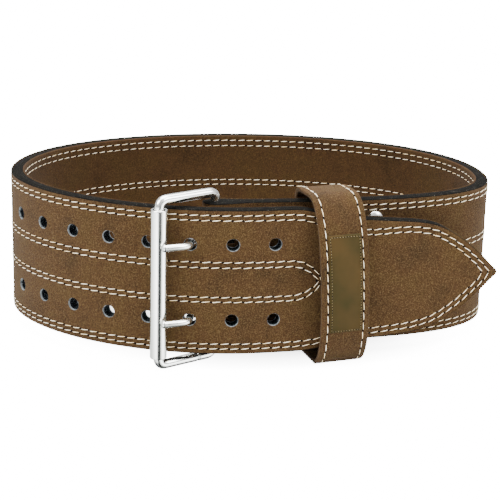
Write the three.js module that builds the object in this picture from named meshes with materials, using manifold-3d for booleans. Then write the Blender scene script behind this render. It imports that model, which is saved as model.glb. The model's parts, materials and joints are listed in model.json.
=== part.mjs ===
import * as THREE from 'three';
import { mergeVertices } from 'three/addons/utils/BufferGeometryUtils.js';
import Module from 'manifold-3d';

// A suede weightlifting belt, buckled into a standing loop. Lengths are in millimetres.
// It is drawn with X across the wearer, Y from the buckle to the back and Z up the strap,
// and is then leaned back until the buckle, the keeper and the back's edge share one level.

// Strap plies, from the outer suede through the black core to the suede lining
const strapWidth = 101.6;
const coreThick = 7;
const suedeThick = 1.2;
const plyGap = 0.3;
const suedeInset = 0.4;

// The closed loop, measured over the middle of the strap
const loopWidth = 338;
const loopDepth = 229;

// Tongue: its straight free end, its lean to the X axis and the length that tapers
const tongueStraight = 156.7;
const tongueLean = 13.2;
const taperLength = 154;

// Adjustment holes in two rows
const holeDiameter = 8.4;
const holePitch = 27.9;
const holeColumns = 8;
const holeEdge = 24.3;
const firstHole = 159.4;
const usedHole = 2;

// Double prong roller buckle
const wireDiameter = 6.6;
const frameReach = 45.2;
const frameTurn = 37;
const frameOverhang = 7;
const frameDrop = 0.8;
const bendRadius = 6;
const wireSeam = 0.3;
const seamPlace = 31.6;
const rollerDiameter = 11.4;
const rollerBore = 8.5;
const rollerLength = 104;
const rollerDrop = 1;
const rollerPastHole = 19;
const rollerMouth = 0.6;
const prongDiameter = 5.2;
const prongLanding = 30;
const prongEyeTurn = 265;
const prongEyeStep = 24;

// The strap's end, folded round the rear bar
const barClear = 0.4;
const eyeWall = 3.6;
const eyeNeck = 26;
const suedeTurnBack = 36;
const slotHeight = 9;
const slotLength = 13;

// Rivets through the fold, one column on each side of the keeper
const rivetHead = 11.4;
const rivetDome = 3;
const rivetRim = 0.8;
const rivetShank = 4.6;
const rivetBurr = 9.6;
const rivetEdge = 14.1;
const rivetFromBar = 52;
const rivetSpread = 58;

// Keeper loop and its bare patch
const keeperWidth = 35;
const keeperWall = 3;
const keeperFromTip = 114.5;
const keeperTurn = 7.5;
const keeperLean = 3.2;
const keeperSlack = 7.2;
const keeperDrop = 2.2;
const keeperFrontRoom = 4.8;
const keeperBackRoom = 1.7;
const keeperFrontSquare = 2.6;
const keeperBackSquare = 8;
const labelWidth = 24;
const labelHeight = 69;
const labelThick = 1;

// Clearance between pieces, and the fineness of the facets
const gap = 0.3;
const stationStep = 11;
const tongueFacets = 48;
const sectionFacets = 48;
const roundSides = 16;
const holeSides = 12;
const domeFacets = 4;
const labelFacets = 8;
const wireSides = 10;
const rodSides = 8;
const wireStep = 3;

const strapThick = coreThick + 2 * (plyGap + suedeThick);
const coreFace = coreThick / 2;
const suedeBack = coreFace + plyGap;
const suedeFace = strapThick / 2;
const rad = THREE.MathUtils.degToRad;
const up = new THREE.Vector3(0, 0, 1);
const wasm = await Module();
wasm.setup();

function toSolid(geometry) {
  const bare = geometry.clone();
  bare.deleteAttribute('normal');
  bare.deleteAttribute('uv');
  const merged = mergeVertices(bare, 1e-4);
  const vertProperties = new Float32Array(merged.attributes.position.array);
  const triVerts = new Uint32Array(merged.index.array);
  return new wasm.Manifold(new wasm.Mesh({ numProp: 3, vertProperties, triVerts }));
}

function toGeometry(solid) {
  const mesh = solid.getMesh();
  const geometry = new THREE.BufferGeometry();
  geometry.setAttribute('position', new THREE.BufferAttribute(new Float32Array(mesh.vertProperties), 3));
  geometry.setIndex(new THREE.BufferAttribute(new Uint32Array(mesh.triVerts), 1));
  geometry.computeVertexNormals();
  return geometry;
}

function cutAll(solid, cutters) {
  return cutters.reduce((rest, cutter) => rest.subtract(cutter), solid);
}

// A unit direction in plan, from its angle to X in degrees.
function heading(degrees) {
  return new THREE.Vector2(Math.cos(rad(degrees)), Math.sin(rad(degrees)));
}

function standing(point, z) {
  return new THREE.Vector3(point.x, point.y, z);
}

// The route of the strap's middle, from the tongue's root round the loop to the neck.
// across and back are shares of the loop's width and depth, turn is the direction of travel,
// and reachIn and reachOut are the curve's handles as shares of the loop's width.
const routeKnots = [
  { across: 0.055, back: 0.045, turn: 180 + tongueLean, reachIn: 0, reachOut: 0.045 },
  { across: -0.083, back: 0.02, turn: 180, reachIn: 0.06, reachOut: 0.215 },
  { across: -0.503, back: 0.476, turn: 90, reachIn: 0.165, reachOut: 0.235 },
  { across: 0.02, back: 1.02, turn: 0, reachIn: 0.25, reachOut: 0.285 },
  { across: 0.494, back: 0.49, turn: -90, reachIn: 0.2, reachOut: 0.125 },
  { across: 0.231, back: 0.186, turn: -166, reachIn: 0.13, reachOut: 0.09 },
];

function knotPoint(knot) {
  return new THREE.Vector2(knot.across * loopWidth, knot.back * loopDepth);
}

function handle(knot, reach) {
  return knotPoint(knot).addScaledVector(heading(knot.turn), reach * loopWidth);
}

const tongueRoot = knotPoint(routeKnots[0]);
const tongueTip = tongueRoot.clone().addScaledVector(heading(tongueLean), tongueStraight);
const route = new THREE.CurvePath();
route.add(new THREE.LineCurve(tongueTip, tongueRoot));
routeKnots.slice(1).forEach((knot, i) => {
  const last = routeKnots[i];
  const leave = handle(last, last.reachOut);
  const arrive = handle(knot, -knot.reachIn);
  route.add(new THREE.CubicBezierCurve(knotPoint(last), leave, arrive, knotPoint(knot)));
});

// A place on the strap: its middle point, its direction and the way out of the loop.
function place(along) {
  const share = along / route.getLength();
  const way = route.getTangentAt(share);
  return { middle: route.getPointAt(share), way, out: new THREE.Vector2(-way.y, way.x) };
}

// The roller lies on the strap's outer face, and the rear bar stands behind it in plan.
const prongHole = firstHole + usedHole * holePitch;
const rollerSeat = place(prongHole + rollerPastHole);
const rollerStand = suedeFace + gap + rollerDiameter / 2;
const rollerCentre = rollerSeat.middle.clone().addScaledVector(rollerSeat.out, rollerStand);
const frameWay = heading(frameTurn);
const rearBar = rollerCentre.clone().addScaledVector(frameWay, frameReach);

// The last stretch runs from the neck's knot to the rear bar, which the strap's end surrounds.
const neckKnot = routeKnots.at(-1);
const neckWay = rearBar.clone().sub(knotPoint(neckKnot)).normalize();
const neckArrive = rearBar.clone().addScaledVector(neckWay, -eyeNeck);
route.add(new THREE.CubicBezierCurve(
  knotPoint(neckKnot),
  handle(neckKnot, neckKnot.reachOut),
  neckArrive,
  rearBar,
));
route.updateArcLengths();
const strapLength = route.getLength();

// Half the core's thickness grows to the eye's radius along the neck.
const eyeSwell = wireDiameter / 2 + barClear + eyeWall - coreFace;
function swell(along) {
  return eyeSwell * THREE.MathUtils.smoothstep(along, strapLength - eyeNeck, strapLength);
}

// Points along one face: side is 1 outside the loop and -1 inside it, and height is the
// distance from the strap's middle.
function facePoints(side, height, from, to) {
  const count = Math.ceil((to - from) / stationStep);
  const points = [];
  for (let i = 0; i <= count; i++) {
    const along = from + ((to - from) * i) / count;
    const { middle, out } = place(along);
    points.push(middle.addScaledVector(out, side * (height + swell(along))));
  }
  return points;
}

// The half circle that carries a face round the rear bar, between its two ends.
function nosePoints(height) {
  const start = place(strapLength).out.angle();
  const points = [];
  for (let i = 1; i < roundSides / 2; i++) {
    const angle = start - (2 * Math.PI * i) / roundSides;
    const spoke = new THREE.Vector2(Math.cos(angle), Math.sin(angle));
    points.push(rearBar.clone().addScaledVector(spoke, height + eyeSwell));
  }
  return points;
}

// A plan stood up over the strap's width, with both edges drawn in by inset.
function standUp(points, inset) {
  const depth = strapWidth - 2 * inset;
  const geometry = new THREE.ExtrudeGeometry(new THREE.Shape(points), { depth, bevelEnabled: false });
  return toSolid(geometry.translate(0, 0, inset));
}

// The tongue's outline. along is a share of the taper's length from the tip, and upper and
// lower are shares of the strap's width that are cut away from its two edges.
const tongueOutline = [
  { along: 1.0, upper: 0, lower: 0 },
  { along: 0.95, upper: 0.001, lower: 0 },
  { along: 0.91, upper: 0.005, lower: 0.002 },
  { along: 0.86, upper: 0.022, lower: 0.008 },
  { along: 0.81, upper: 0.05, lower: 0.02 },
  { along: 0.75, upper: 0.07, lower: 0.036 },
  { along: 0.62, upper: 0.087, lower: 0.064 },
  { along: 0.49, upper: 0.103, lower: 0.08 },
  { along: 0.38, upper: 0.118, lower: 0.1 },
  { along: 0.28, upper: 0.155, lower: 0.144 },
  { along: 0.17, upper: 0.255, lower: 0.25 },
  { along: 0.083, upper: 0.365, lower: 0.365 },
  { along: 0.034, upper: 0.44, lower: 0.44 },
];

// The outline from its upper root round the tip to its lower root, drawn in by inset.
function tongueEdge(inset) {
  const upper = tongueOutline.map((row) => new THREE.Vector2(row.along, 1 - row.upper));
  const lower = tongueOutline.map((row) => new THREE.Vector2(row.along, row.lower));
  const shares = [...upper, new THREE.Vector2(0, 0.5), ...lower.reverse()];
  const size = new THREE.Vector2(taperLength, strapWidth);
  const curve = new THREE.SplineCurve(shares.map((share) => share.multiply(size)));
  const points = [];
  for (let i = 0; i <= tongueFacets; i++) {
    const way = curve.getTangent(i / tongueFacets);
    points.push(curve.getPoint(i / tongueFacets).addScaledVector(new THREE.Vector2(-way.y, way.x), inset));
  }
  return points;
}

// What is cut from the straight strap to leave the tongue.
function tongueWaste(inset) {
  const margin = strapThick;
  const shape = new THREE.Shape([
    new THREE.Vector2(taperLength, -margin),
    new THREE.Vector2(-margin, -margin),
    new THREE.Vector2(-margin, strapWidth + margin),
    new THREE.Vector2(taperLength, strapWidth + margin),
    ...tongueEdge(inset),
  ]);
  const depth = strapThick + 2 * gap;
  const geometry = new THREE.ExtrudeGeometry(shape, { depth, bevelEnabled: false });
  const { middle, way, out } = place(0);
  const front = middle.addScaledVector(out, depth / 2);
  const stand = new THREE.Matrix4().makeBasis(standing(way, 0), up, standing(out.negate(), 0));
  return toSolid(geometry.applyMatrix4(stand.setPosition(standing(front, 0))));
}

// A round cutter that runs straight through the strap.
function throughStrap(along, z, diameter) {
  const { middle, out } = place(along);
  const length = strapThick + 4 * gap;
  const geometry = new THREE.CylinderGeometry(diameter / 2, diameter / 2, length, holeSides);
  geometry.rotateZ(out.angle() - Math.PI / 2);
  return toSolid(geometry.translate(middle.x, middle.y, z));
}

const holeHeights = [strapWidth - holeEdge, holeEdge];
const strapHoles = [];
for (let column = 0; column < holeColumns; column++) {
  for (const z of holeHeights) {
    strapHoles.push(throughStrap(firstHole + column * holePitch, z, holeDiameter));
  }
}

const rivetHeights = [strapWidth - rivetEdge, rivetEdge];
const rivetColumns = [strapLength - rivetFromBar, strapLength - rivetFromBar - rivetSpread];
const rivetHoles = rivetColumns.flatMap((along) => (
  rivetHeights.map((z) => throughStrap(along, z, rivetShank + 2 * gap))
));

// The slots in the fold through which the prongs leave the rear bar
function prongSlot(z) {
  const reach = suedeFace + eyeSwell + gap;
  const geometry = new THREE.BoxGeometry(slotLength + reach, 2 * reach, slotHeight);
  geometry.translate((reach - slotLength) / 2, 0, 0).rotateZ(place(strapLength).way.angle());
  return toSolid(geometry.translate(rearBar.x, rearBar.y, z));
}

const prongSlots = holeHeights.map(prongSlot);

// The strap's three plies
function coreSolid() {
  const plan = [
    ...facePoints(1, coreFace, 0, strapLength),
    ...nosePoints(coreFace),
    ...facePoints(-1, coreFace, 0, strapLength).reverse(),
  ];
  const boreRadius = wireDiameter / 2 + barClear;
  const boreLength = strapWidth + 2 * gap;
  const bore = new THREE.CylinderGeometry(boreRadius, boreRadius, boreLength, roundSides);
  bore.rotateX(Math.PI / 2).translate(rearBar.x, rearBar.y, strapWidth / 2);
  const cutters = [tongueWaste(0), toSolid(bore), ...strapHoles, ...rivetHoles, ...prongSlots];
  return cutAll(standUp(plan, 0), cutters);
}

function outerSuedeSolid() {
  const turnBack = strapLength - suedeTurnBack;
  const plan = [
    ...facePoints(1, suedeFace, 0, strapLength),
    ...nosePoints(suedeFace),
    ...facePoints(-1, suedeFace, turnBack, strapLength).reverse(),
    ...facePoints(-1, suedeBack, turnBack, strapLength),
    ...nosePoints(suedeBack).reverse(),
    ...facePoints(1, suedeBack, 0, strapLength).reverse(),
  ];
  const cutters = [tongueWaste(suedeInset), ...strapHoles, ...rivetHoles, ...prongSlots];
  return cutAll(standUp(plan, suedeInset), cutters);
}

function innerSuedeSolid() {
  const end = strapLength - suedeTurnBack - gap;
  const plan = [
    ...facePoints(-1, suedeFace, 0, end),
    ...facePoints(-1, suedeBack, 0, end).reverse(),
  ];
  return cutAll(standUp(plan, suedeInset), [tongueWaste(suedeInset), ...strapHoles, ...rivetHoles]);
}

// A round rod carried along a path.
function rod(path, diameter, sides) {
  const ring = [];
  for (let i = 0; i < sides; i++) {
    ring.push(heading((360 * i) / sides).multiplyScalar(diameter / 2));
  }
  const steps = Math.ceil(path.getLength() / wireStep);
  return new THREE.ExtrudeGeometry(new THREE.Shape(ring), { steps, extrudePath: path });
}

// The buckle's frame: one wire bent into a rectangle, whose ends meet in the lower bar.
const frameBottom = -frameOverhang - frameDrop;
const frameTop = strapWidth + frameOverhang - frameDrop;
function framePoint(reach, z) {
  return standing(rollerCentre.clone().addScaledVector(frameWay, reach), z);
}

function framePath() {
  const corners = [
    framePoint(0, frameBottom),
    framePoint(0, frameTop),
    framePoint(frameReach, frameTop),
    framePoint(frameReach, frameBottom),
  ];
  const finish = framePoint(seamPlace + wireSeam, frameBottom);
  const path = new THREE.CurvePath();
  let from = framePoint(seamPlace, frameBottom);
  corners.forEach((corner, i) => {
    const next = corners[i + 1] ?? finish;
    const enter = corner.clone().add(from.clone().sub(corner).setLength(bendRadius));
    const leave = corner.clone().add(next.clone().sub(corner).setLength(bendRadius));
    path.add(new THREE.LineCurve3(from, enter));
    path.add(new THREE.QuadraticBezierCurve3(enter, corner, leave));
    from = leave;
  });
  path.add(new THREE.LineCurve3(from, finish));
  return path;
}

function rollerGeometry() {
  const half = rollerLength / 2;
  const outer = rollerDiameter / 2;
  const bore = rollerBore / 2;
  const profile = [
    new THREE.Vector2(bore, rollerMouth - half),
    new THREE.Vector2(bore + rollerMouth, -half),
    new THREE.Vector2(outer, -half),
    new THREE.Vector2(outer, half),
    new THREE.Vector2(bore + rollerMouth, half),
    new THREE.Vector2(bore, half - rollerMouth),
    new THREE.Vector2(bore, rollerMouth - half),
  ];
  return new THREE.LatheGeometry(profile, roundSides).rotateX(Math.PI / 2);
}

// A prong: its eye goes round the rear bar, its shank runs behind the tongue and out through
// the used hole, and its blunt end lies on the roller.
function prongPath(z) {
  const half = prongDiameter / 2;
  const { middle, way, out } = place(prongHole);
  const beside = (pastHole, outward) => (
    middle.clone().addScaledVector(way, pastHole).addScaledVector(out, outward)
  );
  const behind = beside(-half - holeDiameter / 2 + gap, -suedeFace - gap - 2 * half);
  const eyeRadius = wireDiameter / 2 + barClear + half;
  const shankAngle = THREE.MathUtils.radToDeg(behind.clone().sub(rearBar).angle());
  const lean = THREE.MathUtils.radToDeg(Math.acos(eyeRadius / behind.distanceTo(rearBar)));
  const leaveAngle = shankAngle + lean;
  const points = [];
  for (let turn = prongEyeTurn; turn >= 0; turn -= prongEyeStep) {
    points.push(rearBar.clone().addScaledVector(heading(leaveAngle + turn), eyeRadius));
  }
  const landing = rollerSeat.out.clone().rotateAround(new THREE.Vector2(), rad(prongLanding));
  const rest = rollerDiameter / 2 + gap + half;
  points.push(
    behind,
    beside(-gap, -suedeFace),
    beside(gap, suedeFace + half / 2),
    beside(half + gap, suedeFace + 2 * half),
    rollerCentre.clone().addScaledVector(landing, rest),
  );
  return new THREE.CatmullRomCurve3(points.map((point) => standing(point, z)), false, 'centripetal');
}

// A rivet: flat burr inside the loop, shank through the strap and dome outside it.
function rivetGeometry(along, z) {
  const seat = suedeFace + gap;
  const head = rivetHead / 2;
  const burr = rivetBurr / 2;
  const dome = rivetDome - rivetRim;
  const profile = [
    new THREE.Vector2(0, -seat - rivetRim),
    new THREE.Vector2(burr, -seat - rivetRim),
    new THREE.Vector2(burr, -seat),
    new THREE.Vector2(rivetShank / 2, -seat),
    new THREE.Vector2(rivetShank / 2, seat),
    new THREE.Vector2(head, seat),
  ];
  for (let i = 0; i < domeFacets; i++) {
    const angle = (Math.PI / 2) * (i / domeFacets);
    profile.push(new THREE.Vector2(head * Math.cos(angle), seat + rivetRim + dome * Math.sin(angle)));
  }
  profile.push(new THREE.Vector2(0, seat + rivetDome));
  const { middle, out } = place(along);
  const geometry = new THREE.LatheGeometry(profile, holeSides).rotateZ(out.angle() - Math.PI / 2);
  return geometry.translate(middle.x, middle.y, z);
}

// The level on which the belt stands passes under the rear end of the frame's lower bar and
// under the back's lower edge, so the belt leans back from it by a small angle.
const backLine = Math.max(...facePoints(1, coreFace, 0, strapLength).map((point) => point.y));
const barEnd = framePoint(frameReach - bendRadius, frameBottom);
const barSpan = Math.hypot(backLine - barEnd.y, barEnd.z);
const lean = Math.atan2(-barEnd.z, backLine - barEnd.y) + Math.asin(wireDiameter / 2 / barSpan);

// All that is higher than this above the level, as a solid.
function aboveLevel(height) {
  const size = 2 * (loopWidth + tongueStraight);
  const geometry = new THREE.BoxGeometry(size, size, size).translate(0, 0, size / 2 + height);
  return toSolid(geometry.rotateX(lean).translate(0, backLine, 0));
}

// The keeper goes round both thicknesses of the strap, turned a little from the tongue.
const keeperAlong = heading(tongueLean + keeperTurn);
const keeperInto = new THREE.Vector2(-keeperAlong.y, keeperAlong.x);
const keeperSeat = place(keeperFromTip).middle;
const keeperDepths = [1, -1].flatMap((side) => facePoints(side, suedeFace, 0, strapLength))
  .map((point) => point.sub(keeperSeat))
  .filter((point) => Math.abs(point.dot(keeperAlong)) < (keeperWidth + stationStep) / 2)
  .map((point) => point.dot(keeperInto))
  .filter((depth) => Math.abs(depth) < loopDepth / 2);
const keeperFront = Math.min(...keeperDepths) - keeperFrontRoom;
const keeperBack = Math.max(...keeperDepths) + keeperBackRoom;
const keeperMiddle = (keeperFront + keeperBack) / 2;
const keeperHalfDepth = (keeperBack - keeperFront) / 2;
const keeperHalfHeight = strapWidth / 2 + keeperSlack;
const keeperLevel = strapWidth / 2 - keeperDrop;

// The keeper's section is a rounded rectangle: a superellipse, softer in front than behind.
function keeperSection(grow) {
  const power = (value, square) => Math.sign(value) * Math.abs(value) ** (2 / square);
  const points = [];
  for (let i = 0; i < sectionFacets; i++) {
    const angle = (2 * Math.PI * i) / sectionFacets;
    const square = Math.cos(angle) < 0 ? keeperFrontSquare : keeperBackSquare;
    points.push(new THREE.Vector2(
      keeperMiddle + (keeperHalfDepth + grow) * power(Math.cos(angle), square),
      keeperLevel + (keeperHalfHeight + grow) * power(Math.sin(angle), square),
    ));
  }
  return points;
}

// A section drawn across the keeper, carried along it over a width. The section leans in the
// strap's own plane, so that its upper end is nearer to the buckle.
function alongKeeper(section, width) {
  const geometry = new THREE.ExtrudeGeometry(new THREE.Shape(section), { depth: width, bevelEnabled: false });
  const rise = standing(keeperAlong.clone().multiplyScalar(-Math.tan(rad(keeperLean))), 1);
  const stand = new THREE.Matrix4().makeBasis(standing(keeperInto, 0), rise, standing(keeperAlong, 0));
  const foot = standing(keeperSeat, keeperLevel).addScaledVector(rise, -keeperLevel);
  return geometry.translate(0, 0, -width / 2).applyMatrix4(stand.setPosition(foot));
}

function keeperSolid() {
  const outside = toSolid(alongKeeper(keeperSection(keeperWall), keeperWidth));
  const inside = toSolid(alongKeeper(keeperSection(0), keeperWidth + 2 * gap));
  return outside.intersect(aboveLevel(0)).subtract(inside.intersect(aboveLevel(keeperWall)));
}

// The patch follows the keeper's curved front.
function labelGeometry() {
  const frontAt = (grow, share) => {
    const height = (labelHeight / 2) * share;
    const rise = Math.abs(height / (keeperHalfHeight + grow)) ** keeperFrontSquare;
    const depth = (keeperHalfDepth + grow) * (1 - rise) ** (1 / keeperFrontSquare);
    return new THREE.Vector2(keeperMiddle - depth, keeperLevel + height);
  };
  const shares = Array.from({ length: labelFacets + 1 }, (_, i) => (2 * i) / labelFacets - 1);
  const seat = keeperWall + gap;
  const section = [
    ...shares.map((share) => frontAt(seat, share)),
    ...shares.reverse().map((share) => frontAt(seat + labelThick, share)),
  ];
  return alongKeeper(section, labelWidth);
}

// Finishes
const blackLeather = new THREE.MeshStandardMaterial({ color: 0x23262a, roughness: 0.75, metalness: 0 });
const brownSuede = new THREE.MeshStandardMaterial({ color: 0x6f5338, roughness: 0.95, metalness: 0 });
const liningSuede = new THREE.MeshStandardMaterial({ color: 0x5a4029, roughness: 0.95, metalness: 0 });
const patchLeather = new THREE.MeshStandardMaterial({ color: 0x6b5a36, roughness: 0.7, metalness: 0 });
const polishedSteel = new THREE.MeshStandardMaterial({ color: 0xd9dcdf, roughness: 0.2, metalness: 1 });

const belt = new THREE.Group();
belt.rotation.x = -lean;

function addPiece(name, geometry, material) {
  const mesh = new THREE.Mesh(geometry, material);
  mesh.name = name;
  belt.add(mesh);
}

addPiece('belt_core', toGeometry(coreSolid()), blackLeather);
addPiece('outer_suede', toGeometry(outerSuedeSolid()), brownSuede);
addPiece('inner_suede', toGeometry(innerSuedeSolid()), liningSuede);
addPiece('buckle_frame', rod(framePath(), wireDiameter, wireSides), polishedSteel);
addPiece('buckle_roller', rollerGeometry().translate(
  rollerCentre.x,
  rollerCentre.y,
  strapWidth / 2 - rollerDrop,
), polishedSteel);
['upper', 'lower'].forEach((name, row) => {
  addPiece(`prong_${name}`, rod(prongPath(holeHeights[row]), prongDiameter, rodSides), polishedSteel);
});
addPiece('keeper', toGeometry(keeperSolid()), brownSuede);
addPiece('keeper_label', labelGeometry(), patchLeather);
['left', 'right'].forEach((side, column) => {
  ['upper', 'lower'].forEach((level, row) => {
    const geometry = rivetGeometry(rivetColumns[column], rivetHeights[row]);
    addPiece(`rivet_${side}_${level}`, geometry, polishedSteel);
  });
});

// The finished belt stands on Z = 0 with the middle of its box over the origin.
const model = new THREE.Group();
model.add(belt);
model.updateMatrixWorld(true);
const bounds = new THREE.Box3().setFromObject(model, true);
const middle = bounds.getCenter(new THREE.Vector3());
model.position.set(-middle.x, -middle.y, -bounds.min.z);

export default model;
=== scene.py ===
"""A suede weightlifting belt, buckled into a loop that stands on its lower edge.

Lengths are in millimetres in the belt's own upright frame: X across the wearer, Y from the
buckle to the back, Z up the strap. The strap is also measured flat, by how far along it a
point lies from the tongue's tip and how far across it from the lower edge.
"""

from __future__ import annotations

import json
import logging
import math
from collections.abc import Callable, Sequence
from dataclasses import dataclass, field
from enum import Enum

import bpy
import numpy as np
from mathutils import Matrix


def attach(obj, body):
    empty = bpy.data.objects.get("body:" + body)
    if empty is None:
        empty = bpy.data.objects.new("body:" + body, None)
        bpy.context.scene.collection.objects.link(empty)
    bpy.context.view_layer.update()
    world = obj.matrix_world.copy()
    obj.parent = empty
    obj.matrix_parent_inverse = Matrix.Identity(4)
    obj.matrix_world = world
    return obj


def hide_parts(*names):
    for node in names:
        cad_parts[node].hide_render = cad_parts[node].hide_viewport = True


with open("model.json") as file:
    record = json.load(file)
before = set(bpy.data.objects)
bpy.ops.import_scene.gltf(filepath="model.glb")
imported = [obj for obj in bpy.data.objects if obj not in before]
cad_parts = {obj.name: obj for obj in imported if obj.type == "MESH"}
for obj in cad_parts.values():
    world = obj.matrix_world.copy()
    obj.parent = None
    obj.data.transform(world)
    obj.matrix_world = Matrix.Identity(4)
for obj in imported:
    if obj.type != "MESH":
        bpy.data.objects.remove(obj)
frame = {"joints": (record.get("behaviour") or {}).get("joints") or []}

Array = np.ndarray
Place = Callable[[Array, Array, Array], Array]
log = logging.getLogger("belt")

# Millimetres in a metre
METRE = 1000.0
UP = np.array([0.0, 0.0, 1.0])
# Lines and points closer than this, in millimetres, count as one
TOUCH = 1e-4
# The corners of a square, in order
SQUARE = ((-1, -1), (1, -1), (1, 1), (-1, 1))


class Body(Enum):
    """The rigid bodies that pieces ride on."""

    BELT = "belt"
    ROLLER = "roller"


class Rim(Enum):
    """What a ply's edge is: the strap's outline, a punched hole, or a plain cut."""

    OUTLINE = 0
    HOLE = 1
    CUT = 2


def heading(degrees: float) -> Array:
    """A unit direction in plan, from its angle to X."""
    return np.array([math.cos(math.radians(degrees)), math.sin(math.radians(degrees))])


def smoothstep(value: Array, low: float, high: float) -> Array:
    """0 below low, 1 above high and the cubic 3t^2 - 2t^3 between them."""
    t = np.clip((value - low) / (high - low), 0.0, 1.0)
    return t * t * (3.0 - 2.0 * t)


def turned(vectors: Array) -> Array:
    """Plan vectors turned a quarter turn to the left."""
    return np.stack([-vectors[..., 1], vectors[..., 0]], -1)


def standing(plan: Array, height: Array | float) -> Array:
    """Plan points given a height."""
    return np.concatenate([plan, np.broadcast_to(height, plan.shape[:-1])[..., None]], -1)


def unit(vectors: Array) -> Array:
    """Vectors brought to a length of 1."""
    return vectors / np.linalg.norm(vectors, axis=-1, keepdims=True)


def circle(count: int) -> Array:
    """Angles round a full turn, the last one short of the first."""
    return np.linspace(0, 2 * np.pi, count, endpoint=False)


def quarter(count: int) -> Array:
    """Angles through a quarter turn."""
    return np.linspace(0, np.pi / 2, count)


def running_length(path: Array) -> Array:
    """How far along a path each of its points lies."""
    return np.concatenate([[0.0], np.cumsum(np.linalg.norm(np.diff(path, axis=0), axis=1))])


def traced(at: Array, lengths: Array, path: Array) -> Array:
    """A path's points at given lengths, on straight lines between its own points."""
    return np.stack([np.interp(at, lengths, column) for column in path.T], -1)


def resample(path: Array, spacing: float) -> Array:
    """Points at an even spacing along a path, with both ends kept."""
    lengths = running_length(path)
    stops = np.linspace(0, lengths[-1], max(2, round(lengths[-1] / spacing) + 1))
    return traced(stops, lengths, path)


def hermite(a: Array, b: Array, leave: Array, arrive: Array, t: Array) -> Array:
    """The cubic from a to b with given slopes at its ends, for t from 0 to 1."""
    cubic = (2 * a - 2 * b + leave + arrive) * t**3
    return cubic + (3 * b - 3 * a - 2 * leave - arrive) * t**2 + leave * t + a


@dataclass(frozen=True)
class Knot:
    """A knot of the strap's route: shares of the loop's size, direction, and handle lengths."""

    across: float
    back: float
    turn: float
    reach_in: float
    reach_out: float


@dataclass(frozen=True)
class BeltSizes:
    """The belt's driving sizes in millimetres and degrees, as the solid model has them."""

    strap_width: float = 101.6
    core_thick: float = 7.0
    suede_thick: float = 1.2
    ply_gap: float = 0.3
    loop_width: float = 338.0
    loop_depth: float = 229.0
    tongue_straight: float = 156.7
    tongue_lean: float = 13.2
    taper_length: float = 154.0
    hole_diameter: float = 8.4
    hole_pitch: float = 27.9
    hole_columns: int = 8
    hole_edge: float = 24.3
    first_hole: float = 159.4
    used_hole: int = 2
    wire_diameter: float = 6.6
    frame_reach: float = 45.2
    frame_turn: float = 37.0
    frame_overhang: float = 7.0
    frame_drop: float = 0.8
    bend_radius: float = 6.0
    wire_seam: float = 0.3
    seam_place: float = 31.6
    roller_diameter: float = 11.4
    roller_bore: float = 8.5
    roller_length: float = 104.0
    roller_drop: float = 1.0
    roller_past_hole: float = 19.0
    prong_diameter: float = 5.2
    prong_landing: float = 30.0
    prong_eye_turn: float = 265.0
    bar_clear: float = 0.4
    eye_wall: float = 3.6
    eye_neck: float = 26.0
    suede_turn_back: float = 36.0
    slot_height: float = 9.0
    slot_length: float = 13.0
    rivet_head: float = 11.4
    rivet_dome: float = 3.0
    rivet_rim: float = 0.8
    rivet_burr: float = 9.6
    rivet_edge: float = 14.1
    rivet_from_bar: float = 52.0
    rivet_spread: float = 58.0
    keeper_width: float = 35.0
    keeper_wall: float = 3.0
    keeper_from_tip: float = 114.5
    keeper_turn: float = 7.5
    keeper_lean: float = 3.2
    keeper_slack: float = 7.2
    keeper_drop: float = 2.2
    keeper_front_room: float = 4.8
    keeper_back_room: float = 1.7
    keeper_front_square: float = 2.6
    keeper_back_square: float = 8.0
    label_width: float = 24.0
    label_height: float = 69.0
    label_thick: float = 1.0
    gap: float = 0.3

    @property
    def core_face(self) -> float:
        """The core's face, from the strap's middle."""
        return self.core_thick / 2

    @property
    def suede_lift(self) -> float:
        """The suede's outer surface, from the core's face."""
        return self.ply_gap + self.suede_thick

    @property
    def suede_face(self) -> float:
        """The suede's outer surface, from the strap's middle."""
        return self.core_face + self.suede_lift

    @property
    def eye_radius(self) -> float:
        """The core's radius round the rear bar."""
        return self.wire_diameter / 2 + self.bar_clear + self.eye_wall

    @property
    def hole_rows(self) -> tuple[float, float]:
        """The heights of the upper and lower rows of holes."""
        return self.strap_width - self.hole_edge, self.hole_edge

    @property
    def holes(self) -> Array:
        """The centres of all the strap's holes, flat."""
        columns = self.first_hole + self.hole_pitch * np.arange(self.hole_columns)
        return np.array([(column, row) for column in columns for row in self.hole_rows])


ROUTE_KNOTS = (
    Knot(across=0.055, back=0.045, turn=193.2, reach_in=0.0, reach_out=0.045),
    Knot(across=-0.083, back=0.02, turn=180.0, reach_in=0.06, reach_out=0.215),
    Knot(across=-0.503, back=0.476, turn=90.0, reach_in=0.165, reach_out=0.235),
    Knot(across=0.02, back=1.02, turn=0.0, reach_in=0.25, reach_out=0.285),
    Knot(across=0.494, back=0.49, turn=-90.0, reach_in=0.2, reach_out=0.125),
    Knot(across=0.231, back=0.186, turn=-166.0, reach_in=0.13, reach_out=0.09),
)

# Rows from the tongue's root to its tip: share of the taper's length, and the shares of the
# strap's width that are cut away from its upper and lower edges.
TONGUE_OUTLINE = np.array(
    [
        (1.0, 0.0, 0.0),
        (0.95, 0.001, 0.0),
        (0.91, 0.005, 0.002),
        (0.86, 0.022, 0.008),
        (0.81, 0.05, 0.02),
        (0.75, 0.07, 0.036),
        (0.62, 0.087, 0.064),
        (0.49, 0.103, 0.08),
        (0.38, 0.118, 0.1),
        (0.28, 0.155, 0.144),
        (0.17, 0.255, 0.25),
        (0.083, 0.365, 0.365),
        (0.034, 0.44, 0.44),
    ]
)


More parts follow.
